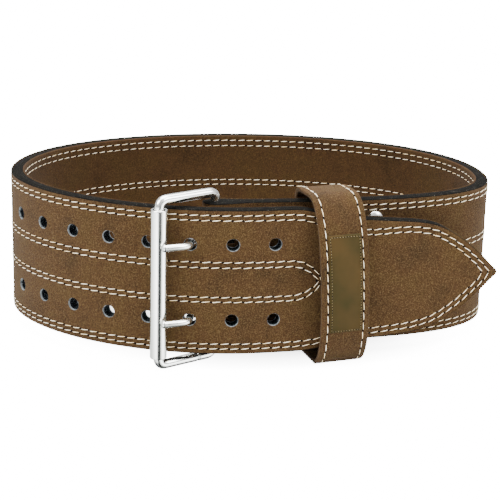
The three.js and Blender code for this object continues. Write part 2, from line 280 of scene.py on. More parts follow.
class StrapRoute:
    """The line that the strap's middle follows in plan, and what stands on it."""

    # Points on each of the route's curves
    DETAIL = 400

    def __init__(self, sizes: BeltSizes) -> None:
        """Lays the route from the tongue's tip to the rear bar.

        The roller lies against the tongue past the used holes, the rear bar at the frame's
        reach behind it, and the route's last curve ends there.

        Args:
            sizes: the belt's sizes.
        """
        self.sizes = sizes
        loop = np.array([sizes.loop_width, sizes.loop_depth])
        spots = [loop * (knot.across, knot.back) for knot in ROUTE_KNOTS]
        tip = spots[0] + heading(sizes.tongue_lean) * sizes.tongue_straight
        t = np.linspace(0.0, 1.0, self.DETAIL)[:, None]
        runs = [tip + (spots[0] - tip) * t]
        for i, knot in enumerate(ROUTE_KNOTS[1:], 1):
            leave = self._handle(i - 1, ROUTE_KNOTS[i - 1].reach_out)
            runs.append(self._bend(spots[i - 1], leave, self._handle(i, -knot.reach_in), spots[i]))
        self._measure(runs)
        seat = sizes.first_hole + sizes.used_hole * sizes.hole_pitch + sizes.roller_past_hole
        middle, _, out = self.at(np.array(seat))
        stand = sizes.suede_face + sizes.gap + sizes.roller_diameter / 2
        self.seat_out = out
        self.roller = middle + out * stand
        self.frame_way = heading(sizes.frame_turn)
        self.rear_bar = self.roller + self.frame_way * sizes.frame_reach
        neck = self.rear_bar - spots[-1]
        arrive = self.rear_bar - unit(neck) * sizes.eye_neck
        leave = self._handle(len(spots) - 1, ROUTE_KNOTS[-1].reach_out)
        runs.append(self._bend(spots[-1], leave, arrive, self.rear_bar))
        self._measure(runs)
        self.length = float(self._lengths[-1])
        self.nose_turn = math.pi * sizes.eye_radius
        _, self.end_way, self.end_out = self.at(np.array(self.length))

    def _handle(self, index: int, reach: float) -> Array:
        """A handle of one knot's curve."""
        knot = ROUTE_KNOTS[index]
        loop = np.array([self.sizes.loop_width, self.sizes.loop_depth])
        return loop * (knot.across, knot.back) + heading(knot.turn) * reach * self.sizes.loop_width

    def _bend(self, a: Array, b: Array, c: Array, d: Array) -> Array:
        """A cubic curve: (1-t)^3 a + 3(1-t)^2 t b + 3(1-t) t^2 c + t^3 d."""
        t = np.linspace(0.0, 1.0, self.DETAIL)[:, None]
        return (1 - t) ** 3 * a + 3 * (1 - t) ** 2 * t * b + 3 * (1 - t) * t * t * c + t**3 * d

    def _measure(self, runs: list[Array]) -> None:
        """Joins the runs and adds up their lengths."""
        self._points = np.concatenate([runs[0]] + [run[1:] for run in runs[1:]])
        self._lengths = running_length(self._points)
        self._ways = np.gradient(self._points, self._lengths, axis=0)

    def at(self, along: Array) -> tuple[Array, Array, Array]:
        """The strap's middle, its direction and the way out of the loop.

        Args:
            along: distances from the tongue's tip.

        Returns:
            Three arrays of plan vectors.
        """
        way = unit(traced(along, self._lengths, self._ways))
        return traced(along, self._lengths, self._points), way, turned(way)

    def swell(self, along: Array) -> Array:
        """How much the core's face rises along the neck, by a smoothstep."""
        rise = self.sizes.eye_radius - self.sizes.core_face
        return rise * smoothstep(along, self.length - self.sizes.eye_neck, self.length)

    def core_point(self, along: Array, level: Array, across: Array) -> Array:
        """Points of the core, whose half thickness past the rear bar is sqrt(R^2 - x^2).

        Args:
            along: distances from the tongue's tip.
            level: from -1 on the inner face to 1 on the outer face.
            across: distances from the strap's lower edge.

        Returns:
            Points in the upright frame.
        """
        beyond = np.clip(along - self.length, 0.0, self.sizes.eye_radius)
        middle, _, out = self.at(np.minimum(along, self.length))
        middle = middle + beyond[..., None] * self.end_way
        straight = self.sizes.core_face + self.swell(along)
        half = np.where(beyond > 0, np.sqrt(self.sizes.eye_radius**2 - beyond**2), straight)
        return standing(middle + (level * half)[..., None] * out, across)

    def outer_point(self, along: Array, lift: Array, across: Array) -> Array:
        """Points over the core's outer face, carried round the rear bar and back inside.

        Past the strap's length, the spoke turns from out to -out in a half circle.

        Args:
            along: distances from the tongue's tip.
            lift: distances from the core's face.
            across: distances from the strap's lower edge.

        Returns:
            Points in the upright frame.
        """
        radius, end = self.sizes.eye_radius, self.length
        inside = along >= end + self.nose_turn
        back = np.where(inside, 2 * end + self.nose_turn - along, np.minimum(along, end))
        middle, _, out = self.at(back)
        rise = self.sizes.core_face + self.swell(back) + lift
        flat = middle + out * (np.where(inside, -1.0, 1.0) * rise)[..., None]
        turn = ((np.clip(along, end, end + self.nose_turn) - end) / radius)[..., None]
        spoke = np.cos(turn) * self.end_out + np.sin(turn) * self.end_way
        nose = self.rear_bar + spoke * (radius + lift)[..., None]
        on_nose = ((along > end) & ~inside)[..., None]
        return standing(np.where(on_nose, nose, flat), across)

    def inner_point(self, along: Array, lift: Array, across: Array) -> Array:
        """Points over the core's inner face, from the same three distances."""
        middle, _, out = self.at(along)
        rise = self.sizes.core_face + self.swell(along) + lift
        return standing(middle - out * rise[..., None], across)


class Outline:
    """The strap's outline, laid flat: straight edges and the tongue's taper."""

    # Points on the spline between two of the taper's rows
    DETAIL = 40

    def __init__(self, sizes: BeltSizes) -> None:
        """Draws the taper as a smooth spline through the table's rows.

        Args:
            sizes: the belt's sizes.
        """
        self.sizes = sizes
        along, upper, lower = TONGUE_OUTLINE.T
        rows = np.concatenate(
            [
                np.stack([along, 1 - upper], 1),
                [(0.0, 0.5)],
                np.stack([along, lower], 1)[::-1],
            ]
        )
        rows = rows * (sizes.taper_length, sizes.strap_width)
        before = np.concatenate([rows[:1], rows[:-1]])[:-1]
        after = np.concatenate([rows[1:], rows[-1:]])[1:]
        t = np.linspace(0.0, 1.0, self.DETAIL, endpoint=False)[None, :, None]
        a, b = rows[:-1, None], rows[1:, None]
        curve = hermite(a, b, (b - before[:, None]) / 2, (after[:, None] - a) / 2, t)
        self._curve = np.concatenate([curve.reshape(-1, 2), rows[-1:]])
        self._inward = turned(unit(np.gradient(self._curve, axis=0)))

    def edges(self, along: Array, inset: float) -> tuple[Array, Array]:
        """The lower and upper edges, drawn in by inset.

        Args:
            along: distances from the tongue's tip.
            inset: distance inside the outline, square to it.

        Returns:
            Two arrays of distances across the strap.
        """
        drawn = self._curve + self._inward * inset
        tip = int(np.argmin(self._curve[:, 0]))
        upper, lower = drawn[:tip][::-1], drawn[tip + 1 :]
        high = np.interp(along, upper[:, 0], upper[:, 1])
        low = np.interp(along, lower[:, 0], lower[:, 1])
        width = self.sizes.strap_width
        full = along >= self.sizes.taper_length
        return np.where(full, inset, low), np.where(full, width - inset, high)

    def tip(self, inset: float, blunt: float) -> float:
        """Where the drawn-in outline is as wide as blunt, near the tongue's tip."""
        along = np.linspace(0.0, 4 * inset + 20.0, 2000)
        low, high = self.edges(along, inset)
        return float(along[np.argmax((high - low >= blunt) & (along >= inset))])

    def fit(self, points: Array, inset: float) -> Array:
        """Squeezes a full-width pattern into the outline.

        The band that holds the rows of holes keeps its place where the strap is straight,
        and the rest is stretched evenly to the edges.

        Args:
            points: the pattern, as distances along and across.
            inset: distance of its edges inside the outline.

        Returns:
            The squeezed pattern.
        """
        sizes = self.sizes
        low, high = self.edges(points[:, 0], inset)
        centre, half = (low + high) / 2, sizes.strap_width / 2
        scale = (high - low) / (sizes.strap_width - 2 * inset)
        band = half - sizes.hole_edge + HOLE_PATCH
        offset = points[:, 1] - half
        inner = centre + offset * scale
        share = (np.abs(offset) - band) / (half - band)
        seam = centre + np.sign(offset) * band * scale
        edge = np.where(offset > 0, high, low)
        outer = seam + (edge - seam) * share
        return np.stack([points[:, 0], np.where(share > 0, outer, inner)], 1)


# Where the black of the strap's edge fades in, from the tongue's tip
DYE_FADES = (32.0, 46.0)
# Round each hole the grid gives way to rings. They fill a square patch that reaches this far
# from the hole's centre, with this many cells to a side, and lie at these shares of the way
# from the patch's border to the circle.
HOLE_PATCH = 7.5
PATCH_CELLS = 8
HOLE_RINGS = (0.35, 0.65, 0.86, 1.0)


@dataclass
class CutPiece:
    """A piece as it is cut from the flat hide: its points and its four-sided faces."""

    points: Array
    quads: Array

    def rim(self) -> tuple[Array, Array]:
        """The directed edges that belong to one face only, as start and end points."""
        start, end = self.quads.reshape(-1), np.roll(self.quads, -1, axis=1).reshape(-1)
        count = len(self.points)
        free = ~np.isin(start * count + end, end * count + start)
        return start[free], end[free]


def perforated(
    along: Array,
    across: Array,
    holes: Array,
    radius: float,
    notches: Sequence[tuple[float, float, float, float]] = (),
) -> CutPiece:
    """A grid with round holes and square notches.

    Round each hole a square patch of cells gives way to rings, each point of which moves
    from the patch's border towards the circle by the ring's share.

    Args:
        along: the grid's lines along the strap, with the patches' borders among them.
        across: the same across the strap.
        holes: the holes' centres.
        radius: the holes' radius.
        notches: low and high along, then low and high across, of each notch.

    Returns:
        The cut piece.
    """
    grid = np.stack(np.meshgrid(along, across, indexing="ij"), -1)
    index = np.arange(grid.shape[0] * grid.shape[1]).reshape(grid.shape[:2])
    cells = np.stack([index[:-1, :-1], index[1:, :-1], index[1:, 1:], index[:-1, 1:]], -1)
    centres = (grid[:-1, :-1] + grid[1:, 1:]) / 2
    keep = np.ones(cells.shape[:2], bool)
    for hole in holes:
        keep &= (np.abs(centres - hole) > HOLE_PATCH).any(-1)
    for low, high, bottom, top in notches:
        inside = (centres[..., 0] > low) & (centres[..., 0] < high)
        keep &= ~(inside & (centres[..., 1] > bottom) & (centres[..., 1] < top))
    flat = grid.reshape(-1, 2)
    points, quads = [flat], [cells[keep]]
    count = len(flat)
    for hole in holes:
        i, j = (
            np.searchsorted(line, at - HOLE_PATCH - TOUCH / 2)
            for line, at in zip((along, across), hole)
        )
        m, n = i + PATCH_CELLS, j + PATCH_CELLS
        border = np.concatenate([index[i:m, j], index[m, j:n], index[m:i:-1, n], index[i, n:j:-1]])
        wall = hole + radius * unit(flat[border] - hole)
        rings = [border]
        for share in HOLE_RINGS:
            points.append(flat[border] * (1 - share) + wall * share)
            rings.append(count + np.arange(len(border)))
            count += len(border)
        for outer, inner in zip(rings, rings[1:]):
            quads.append(np.stack([outer, np.roll(outer, -1), np.roll(inner, -1), inner], 1))
    points, quads = np.concatenate(points), np.concatenate(quads)
    used, quads = np.unique(quads, return_inverse=True)
    return CutPiece(points[used], quads.reshape(-1, 4))


@dataclass
class Body3D:
    """A closed body: points, faces of four or three corners, and a finish for each face."""

    points: Array
    quads: Array
    finish: Array
    tris: Array = field(default_factory=lambda: np.zeros((0, 3), int))
    dye: Array | None = None


def ply(
    cut: CutPiece,
    profile: Array,
    rims: Callable[[Array], Array],
    reach: Sequence[float],
    place: Place,
    flip: bool = False,
) -> Body3D:
    """Gives a cut piece its thickness, and its rim the profile's rounding.

    A rim point moves outwards by the profile's share times the reach of its kind of rim,
    while its level falls from the face to the back. At a corner it keeps its distance from
    both edges, as (m + n) / (1 + m.n) with the normals m and n of the two edges.

    Args:
        cut: the flat piece.
        profile: rows of (outward share, level) from the face to the back.
        rims: tells each flat point's kind of rim.
        reach: how far each kind of rim stands out, in the order of Rim.
        place: puts (along, level, across) into space.
        flip: turns the faces round, for a piece whose face looks into the loop.

    Returns:
        The closed body, whose finishes are 0 for the faces and 1 and up for the rims.
    """
    start, end = cut.rim()
    count = len(cut.points)
    ahead, behind = np.zeros(count, int), np.zeros(count, int)
    ahead[start], behind[end] = end, start
    leave = cut.points[ahead[start]] - cut.points[start]
    arrive = cut.points[start] - cut.points[behind[start]]
    leave, arrive = (-turned(unit(way)) for way in (leave, arrive))
    outward = (leave + arrive) / np.maximum(1 + (leave * arrive).sum(1, keepdims=True), 0.5)
    kinds = rims(cut.points[start])
    push = outward * np.asarray(reach)[kinds][:, None]
    edge = cut.points[start]
    back = cut.points.copy()
    back[start] = edge + push * profile[-1, 0]
    rows = [edge + push * share for share in profile[1:-1, 0]]
    flat = np.concatenate([cut.points, *rows, back])
    levels = np.concatenate(
        [
            np.full(count, profile[0, 1]),
            np.repeat(profile[1:-1, 1], len(start)),
            np.full(count, profile[-1, 1]),
        ]
    )
    rank = np.zeros(count, int)
    rank[start] = np.arange(len(start))
    last = count + len(rows) * len(start)
    lines = [start] + [count + k * len(start) + np.arange(len(start)) for k in range(len(rows))]
    lines.append(last + start)
    walls = [
        np.stack([upper, upper[rank[end]], lower[rank[end]], lower], 1)
        for upper, lower in zip(lines, lines[1:])
    ]
    quads = np.concatenate([cut.quads[:, ::-1], cut.quads + last, *walls])
    finish = np.concatenate([np.zeros(2 * len(cut.quads), int)] + [kinds + 1] * len(walls))
    points = place(flat[:, 0], levels, flat[:, 1])
    dye = smoothstep(flat[:, 0], *DYE_FADES)
    return Body3D(points, quads[:, ::-1] if flip else quads, finish, dye=dye)


def loft(rings: Array, caps: bool = True, closed: bool = False) -> Body3D:
    """Skins a row of rings of points, round each ring and from each ring to the next.

    Args:
        rings: points as [ring, place on the ring, coordinate].
        caps: closes the first and last rings with a fan from their middles.
        closed: joins the last ring to the first one.

    Returns:
        The body.
    """
    count, sides = rings.shape[:2]
    index = np.arange(count * sides).reshape(count, sides)
    if closed:
        index = np.concatenate([index, index[:1]])
    near, far = index[:-1], index[1:]
    quads = np.stack([near, np.roll(near, -1, 1), np.roll(far, -1, 1), far], -1).reshape(-1, 4)
    points = rings.reshape(-1, 3)
    tris = np.zeros((0, 3), int)
    if caps:
        middles = rings[[0, -1]].mean(1)
        a, b = len(points), len(points) + 1
        points = np.concatenate([points, middles])
        first = np.stack([np.roll(index[0], -1), index[0], np.full(sides, a)], 1)
        last = np.stack([index[-1], np.roll(index[-1], -1), np.full(sides, b)], 1)
        tris = np.concatenate([first, last])
    return Body3D(points, quads, np.zeros(len(quads) + len(tris), int), tris)


def tube(path: Array, radius: Array | float, normal: Array, sides: int = 28) -> Body3D:
    """A round wire along a flat path.

    A ring's point is centre + r (cos a * side + sin a * normal), with side = way x normal.

    Args:
        path: points along the wire's middle.
        radius: the wire's radius, for all rings or for each.
        normal: the unit normal of the plane that holds the path.
        sides: points on each ring.

    Returns:
        The closed wire.
    """
    side = np.cross(unit(np.gradient(path, axis=0)), normal)
    angle = circle(sides)[None, :, None]
    size = np.broadcast_to(radius, len(path))[:, None, None]
    return loft(path[:, None] + size * (np.cos(angle) * side[:, None] + np.sin(angle) * normal))


def lathe(profile: Array, sides: int = 48) -> Body3D:
    """Turns a profile of (radius, height) rows round the Z axis; a closed profile has no caps."""
    angle = circle(sides)[None]
    radius, height = profile[:, :1], profile[:, 1:]
    ring = np.stack([radius * np.cos(angle), radius * np.sin(angle), height + 0 * angle], -1)
    return loft(ring, caps=min(profile[0, 0], profile[-1, 0]) < TOUCH)


class BeltFrame:
    """Where the upright belt stands in the shared frame: leaned back, then shifted."""

    def __init__(self, route: StrapRoute) -> None:
        """Reads the lean and the place from the roller's joint.

        Args:
            route: the strap's route, with the roller's place in the upright frame.
        """
        joint = frame["joints"][0]
        axis = np.array(joint["axis"], float)
        self.lean = math.atan2(axis[1], axis[2])
        sizes = route.sizes
        roller = standing(route.roller, sizes.strap_width / 2 - sizes.roller_drop)
        self.shift = np.array(joint["pos_m"], float) - self._turn(roller) / METRE

    def _turn(self, points: Array) -> Array:
        """Leans points back about the X axis."""
        c, s = math.cos(self.lean), math.sin(self.lean)
        x, y, z = points[..., 0], points[..., 1], points[..., 2]
        return np.stack([x, c * y + s * z, c * z - s * y], -1)

    def place(self, points: Array) -> Array:
        """Millimetres in the belt's upright frame to metres in the shared frame."""
        return self._turn(points) / METRE + self.shift


def linear(hex_colour: str) -> tuple[float, float, float, float]:
    """An sRGB hex colour as linear light: v / 12.92, or ((v + 0.055) / 1.055)^2.4."""
    value = np.array([int(hex_colour[i : i + 2], 16) for i in (1, 3, 5)]) / 255
    light = np.where(value <= 0.04045, value / 12.92, ((value + 0.055) / 1.055) ** 2.4)
    return (*light.tolist(), 1.0)


def add_node(
    tree: bpy.types.NodeTree,
    kind: str,
    values: dict[str | int, object] | None = None,
    links: dict[str | int, bpy.types.NodeSocket] | None = None,
    **settings: object,
) -> bpy.types.Node:
    """Adds a node with its settings, socket values and links.

    Args:
        tree: the material's or world's nodes.
        kind: the node's type.
        values: socket name or index to value.
        links: socket name or index to the socket that feeds it.
        **settings: the node's own properties.

    Returns:
        The node.
    """
    node = tree.nodes.new(kind)
    for name, setting in settings.items():
        setattr(node, name, setting)
    for socket, value in (values or {}).items():
        node.inputs[socket].default_value = value
    for socket, source in (links or {}).items():
        tree.links.new(source, node.inputs[socket])
    return node


def add_ramp(
    tree: bpy.types.NodeTree, source: bpy.types.NodeSocket, stops: Sequence[tuple[float, str]]
) -> bpy.types.NodeSocket:
    """A colour ramp through hex colours at their positions.

    Args:
        tree: the nodes.
        source: what picks the place on the ramp.
        stops: rows of position and hex colour.

    Returns:
        The colour's socket.
    """
    ramp = add_node(tree, "ShaderNodeValToRGB", links={0: source})
    elements = ramp.color_ramp.elements
    while len(elements) < len(stops):
        elements.new(0.5)
    for element, (position, colour) in zip(elements, stops):
        element.position = position
        element.color = linear(colour)
    return ramp.outputs["Color"]


def new_material(name: str) -> tuple[bpy.types.Material, bpy.types.NodeTree]:
    """An empty node material."""
    material = bpy.data.materials.new(name)
    material.use_nodes = True
    material.node_tree.nodes.clear()
    return material, material.node_tree


def finish_shader(tree: bpy.types.NodeTree, values: dict, links: dict) -> None:
    """Adds the surface shader with its values and links, and the output."""
    shader = add_node(tree, "ShaderNodeBsdfPrincipled", values, links)
    add_node(tree, "ShaderNodeOutputMaterial", links={"Surface": shader.outputs["BSDF"]})


def grain(
    tree: bpy.types.NodeTree, size: float, detail: float = 2.0, roughness: float = 0.5
) -> bpy.types.NodeSocket:
    """Noise on Object coordinates.

    Args:
        tree: the nodes.
        size: about how many millimetres a patch is across.
        detail: how many finer layers lie over the patches.
        roughness: how strong those layers are.

    Returns:
        The noise's socket.
    """
    where = add_node(tree, "ShaderNodeTexCoord").outputs["Object"]
    noise = add_node(
        tree,
        "ShaderNodeTexNoise",
        {"Scale": METRE / size, "Detail": detail, "Roughness": roughness},
        {"Vector": where},
    )
    return noise.outputs["Fac"]


def bumped(
    tree: bpy.types.NodeTree,
    height: bpy.types.NodeSocket,
    depth: float,
    strength: float,
    under: bpy.types.NodeSocket | None = None,
) -> bpy.types.NodeSocket:
    """A bump, over another bump if one is given.

    Args:
        tree: the nodes.
        height: the relief, from 0 to 1.
        depth: its full height in millimetres.
        strength: how much of it shows.
        under: the other bump.

    Returns:
        The normal's socket.
    """
    links = {"Height": height} | ({"Normal": under} if under is not None else {})
    values = {"Strength": strength, "Distance": depth / METRE}
    return add_node(tree, "ShaderNodeBump", values, links).outputs["Normal"]


def mixed(tree: bpy.types.NodeTree, a: object, b: object, share: object) -> bpy.types.NodeSocket:
    """A share of colour b in colour a.

    Args:
        tree: the nodes.
        a: a colour's socket, or linear light.
        b: the same.
        share: a value's socket, or a number.

    Returns:
        The mixed colour's socket.
    """
    inputs = {0: share, 6: a, 7: b}
    links = {key: put for key, put in inputs.items() if isinstance(put, bpy.types.NodeSocket)}
    values = {key: put for key, put in inputs.items() if key not in links}
    return add_node(tree, "ShaderNodeMix", values, links, data_type="RGBA").outputs[2]


def map_range(
    tree: bpy.types.NodeTree,
    source: bpy.types.NodeSocket,
    given: tuple[float, float],
    wanted: tuple[float, float] = (0.0, 1.0),
) -> bpy.types.NodeSocket:
    """A value moved from one range to another, and held at its ends.

    Args:
        tree: the nodes.
        source: the value's socket.
        given: the value where the result begins and ends.
        wanted: the result at those two values.

    Returns:
        The result's socket.
    """
    values = dict(zip(("From Min", "From Max", "To Min", "To Max"), (*given, *wanted)))
    return add_node(tree, "ShaderNodeMapRange", values, {"Value": source}).outputs["Result"]


def computed(
    tree: bpy.types.NodeTree, operation: str, a: bpy.types.NodeSocket, b: bpy.types.NodeSocket
) -> bpy.types.NodeSocket:
    """The result of one operation on two values."""
    return add_node(tree, "ShaderNodeMath", links={0: a, 1: b}, operation=operation).outputs[0]


@dataclass(frozen=True)
class Suede:
    """Split cowhide with a brushed nap: matte, with soft blotches where the nap lies each way.

    The sizes of its blotches, tufts and fibres are in millimetres, drawn coarse to show.
    """

    name: str
    deep: str
    red: str
    olive: str
    pale: str
    blotch: float = 26.0
    tuft: float = 2.2
    fibre: float = 0.8

    def make(self) -> bpy.types.Material:
        """Mixes blotches with tufts, and both with fibres, which also raise the relief.

        Returns:
            The material.
        """
        material, tree = new_material(self.name)
        blotch = grain(tree, self.blotch, 2.0, 0.6)
        nap = grain(tree, self.tuft, 2.0, 0.6)
        fibre = grain(tree, self.fibre, 3.0, 0.8)
        body = add_ramp(tree, blotch, ((0.26, self.deep), (0.48, self.red), (0.66, self.olive)))
        tufts = add_ramp(tree, nap, ((0.3, self.red), (0.7, self.olive)))
        speck = add_ramp(tree, fibre, ((0.37, self.deep), (0.5, self.red), (0.63, self.pale)))
        colour = mixed(tree, mixed(tree, body, tufts, 0.3), speck, 0.5)
        normal = bumped(tree, fibre, 0.5, 0.9, under=bumped(tree, nap, 0.4, 0.3))
        sheen = {"Sheen Weight": 0.03, "Sheen Roughness": 0.5}
        values = {"Roughness": 0.95, "Specular IOR Level": 0.04} | sheen
        finish_shader(tree, values, {"Base Color": colour, "Normal": normal})
        return material


@dataclass(frozen=True)
class PlainFinish:
    """Leather or bare metal without nap or plating.

    Its patches of colour, the grain of its relief and that relief's depth are in millimetres.
    """

    name: str
    dark: str
    light: str
    patch: float
    pore: float
    depth: float
    roughness: float

    def make(self) -> bpy.types.Material:
        """Takes the colour from the patches and the relief from the pores.

        Returns:
            The material.
        """
        material, tree = new_material(self.name)
        patches = grain(tree, self.patch, 3.0)
        colour = add_ramp(tree, patches, ((0.32, self.dark), (0.68, self.light)))
        normal = bumped(tree, grain(tree, self.pore, 3.0, 0.6), self.depth, 0.6)
        values = {"Roughness": self.roughness, "Specular IOR Level": 0.12}
        finish_shader(tree, values, {"Base Color": colour, "Normal": normal})
        return material


@dataclass(frozen=True)
class CutLeather:
    """A cut edge: dense fibre with pale tufts that the dye missed, on a share of it."""

    name: str
    dark: str
    light: str
    tuft: str
    undyed: str
    share: float
    layer: float = 2.5
    fibre: float = 0.7
    fade: float = 0.08
    roughness: float = 0.95

    def make(self) -> bpy.types.Material:
        """Lays tufts of fibre over layers; the dye attribute fades the dye in.

        Returns:
            The material.
        """
        material, tree = new_material(self.name)
        layers = grain(tree, self.layer, 3.0)
        layers = add_ramp(tree, layers, ((0.35, self.dark), (0.65, self.light)))
        fibre = grain(tree, self.fibre, 2.0, 0.6)
        tufts = map_range(tree, fibre, (1 - self.share, 1 + self.fade - self.share))
        dyed = mixed(tree, layers, linear(self.tuft), tufts)
        dye = add_node(tree, "ShaderNodeAttribute", attribute_name="dye").outputs["Fac"]
        colour = mixed(tree, linear(self.undyed), dyed, dye)
        values = {"Roughness": self.roughness, "Specular IOR Level": 0.05}
        links = {"Base Color": colour, "Normal": bumped(tree, fibre, 0.4, 0.7)}
        finish_shader(tree, values, links)
        return material


@dataclass(frozen=True)
class PlatedSteel:
    """Nickel-plated steel, tumbled and polished: bright, with faint waves and hairlines."""

    name: str
    colour: str
    roughness: tuple[float, float] = (0.16, 0.28)
    wave: float = 6.0
    hairline: float = 0.4

    def make(self) -> bpy.types.Material:
        """Varies the roughness in waves, over hairlines; both sizes are in millimetres.

        Returns:
            The material.
        """
        material, tree = new_material(self.name)
        roughness = map_range(tree, grain(tree, self.wave, 3.0), (0.0, 1.0), self.roughness)
        normal = bumped(tree, grain(tree, self.hairline, 2.0), 0.01, 0.25)
        values = {"Base Color": linear(self.colour), "Metallic": 1.0}
        finish_shader(tree, values, {"Roughness": roughness, "Normal": normal})
        return material


@dataclass(frozen=True)
class WaxedThread:
    """Waxed twisted thread: a soft gloss, with the lay of its strands across it."""

    name: str
    dark: str
    light: str
    strand: float = 0.9

    def make(self) -> bpy.types.Material:
        """Draws the strands as slanted waves on the thread's own map, coarse to show.

        Returns:
            The material.
        """
        material, tree = new_material(self.name)
        where = add_node(tree, "ShaderNodeUVMap", uv_map="thread").outputs["UV"]
        lay = add_node(
            tree,
            "ShaderNodeTexWave",
            {"Scale": METRE / self.strand / 20, "Distortion": 0.3},
            {"Vector": where},
            bands_direction="DIAGONAL",
        ).outputs["Fac"]
        colour = add_ramp(tree, lay, ((0.1, self.dark), (0.6, self.light)))
        normal = bumped(tree, lay, 0.1, 0.5)
        finish_shader(tree, {"Roughness": 0.6}, {"Base Color": colour, "Normal": normal})
        return material


class Finishes:
    """The belt's finishes, each made once."""

    def __init__(self) -> None:
        """Makes every material."""
        # The strap's face and the keeper: brushed brown nap, soft and without any gloss
        self.suede = Suede("brown_split_suede", "#1a130b", "#382616", "#3c2e18", "#604f32").make()
        # The lining: the same hide, darker and redder
        self.lining = Suede("dark_lining_suede", "#140d07", "#322112", "#312411", "#49371c").make()
        # Edge paint: dyed, burnished fibre, nearly black, worn to olive on the tongue's taper
        self.edge = CutLeather(
            "black_dyed_edge", "#070706", "#0e0d0b", "#6e6a60", "#2c2213", share=0.34
        ).make()
        # A punched hole's wall: blue-black fibre with pale tufts; the near-black is painted shade
        # deep in the hole
        self.hole = CutLeather(
            "punched_hole_wall_painted_shade", "#08090a", "#11161a", "#5c656b", "#11161a", share=0.42
        ).make()
        # The suede's own cut at a hole: undyed chrome-tanned fibre, pale and bluish
        self.raw = PlainFinish(
            "raw_chrome_tanned_cut", "#3c4246", "#878d8e", 1.6, 0.5, 0.25, 0.9
        ).make()
        # The patch: smooth pull-up leather that catches light along its middle
        self.patch = PlainFinish(
            "olive_pull_up_leather", "#2b250c", "#3a2c12", 26.0, 0.6, 0.05, 0.75
        ).make()
        # The needle's mark: a slight dip in the leather, coloured near-black as painted shade
        self.mark = PlainFinish("needle_hole_painted_shade", "#050302", "#0a0603", 2.0, 0.6, 0.05, 1.0).make()
        # The buckle and the rivets: bright plating that shows the room in soft streaks
        self.steel = PlatedSteel("nickel_plated_steel", "#f4f5f1").make()
        # The strap's and the keeper's thread: cream, and the belt's palest colour
        self.cream_thread = WaxedThread("cream_waxed_thread", "#f6dcae", "#fff3d9").make()
        # The patch's thread: fine and olive, so that its row barely shows
        self.olive_thread = WaxedThread("olive_waxed_thread", "#463a1c", "#6a5a34").make()
        # The roller's bore: bare drawn steel that the plating didn't reach
        self.bore = PlainFinish(
            "bare_drawn_steel", "#1c1e1f", "#303334", 1.5, 0.4, 0.03, 0.6
        ).make()


class Workshop:
    """Turns bodies into scene objects on their rigid bodies."""

    def __init__(self, place: Callable[[Array], Array]) -> None:
        """Keeps the placing from the upright belt to the shared frame."""
        self.place = place

    def make(
        self,
        name: str,
        body: Body3D,
        finishes: Sequence[bpy.types.Material],
        slot: str,
        *stands_for: str,
        rides: Body = Body.BELT,
    ) -> bpy.types.Object:
        """Makes a piece.

        Args:
            name: the piece's name.
            body: its shape, in millimetres in the upright frame.
            finishes: the materials that the faces' numbers refer to.
            slot: the record's material slot; not used.
            *stands_for: the solid nodes that it replaces.
            rides: the rigid body that carries the piece.

        Returns:
            The object.
        """
        mesh = bpy.data.meshes.new(name)
        points = self.place(body.points)
        quads, tris = body.quads, body.tris
        corners = np.concatenate([quads.reshape(-1), tris.reshape(-1)])
        sizes = np.concatenate([np.full(len(quads), 4), np.full(len(tris), 3)])
        mesh.vertices.add(len(points))
        mesh.vertices.foreach_set("co", points.astype(np.float32).reshape(-1))
        mesh.loops.add(len(corners))
        mesh.loops.foreach_set("vertex_index", corners.astype(np.int32))
        mesh.polygons.add(len(sizes))
        mesh.polygons.foreach_set("loop_start", (np.cumsum(sizes) - sizes).astype(np.int32))
        mesh.polygons.foreach_set("material_index", body.finish.astype(np.int32))
        mesh.update(calc_edges=True)
        mesh.polygons.foreach_set("use_smooth", np.ones(len(sizes), bool))
        for finish in finishes:
            mesh.materials.append(finish)
        if body.dye is not None:
            dye = mesh.attributes.new("dye", "FLOAT", "POINT")
            dye.data.foreach_set("value", body.dye.astype(np.float32))
        mesh.validate()
        piece = bpy.data.objects.new(name, mesh)
        bpy.context.scene.collection.objects.link(piece)
        if stands_for:
            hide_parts(*stands_for)
        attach(piece, rides.value)
        log.info("%s: %d points, %d faces", name, len(points), len(sizes))
        return piece


@dataclass(frozen=True)
class Stitch:
    """One kind of lockstitch: its pitch, visible length, thread, bow, slant and needle mark of
    painted shade.
    """

    pitch: float
    length: float
    thread: float
    rise: float
    slant: float
    mark: float


OUTER_STITCH = Stitch(pitch=7.0, length=5.6, thread=0.43, rise=0.26, slant=-7.0, mark=1.1)
LINING_STITCH = Stitch(pitch=7.0, length=5.2, thread=0.35, rise=0.16, slant=5.0, mark=1.1)
KEEPER_STITCH = Stitch(pitch=7.4, length=5.9, thread=0.5, rise=0.24, slant=-4.0, mark=1.1)
LABEL_STITCH = Stitch(pitch=2.0, length=1.2, thread=0.36, rise=0.08, slant=-15.0, mark=0.5)


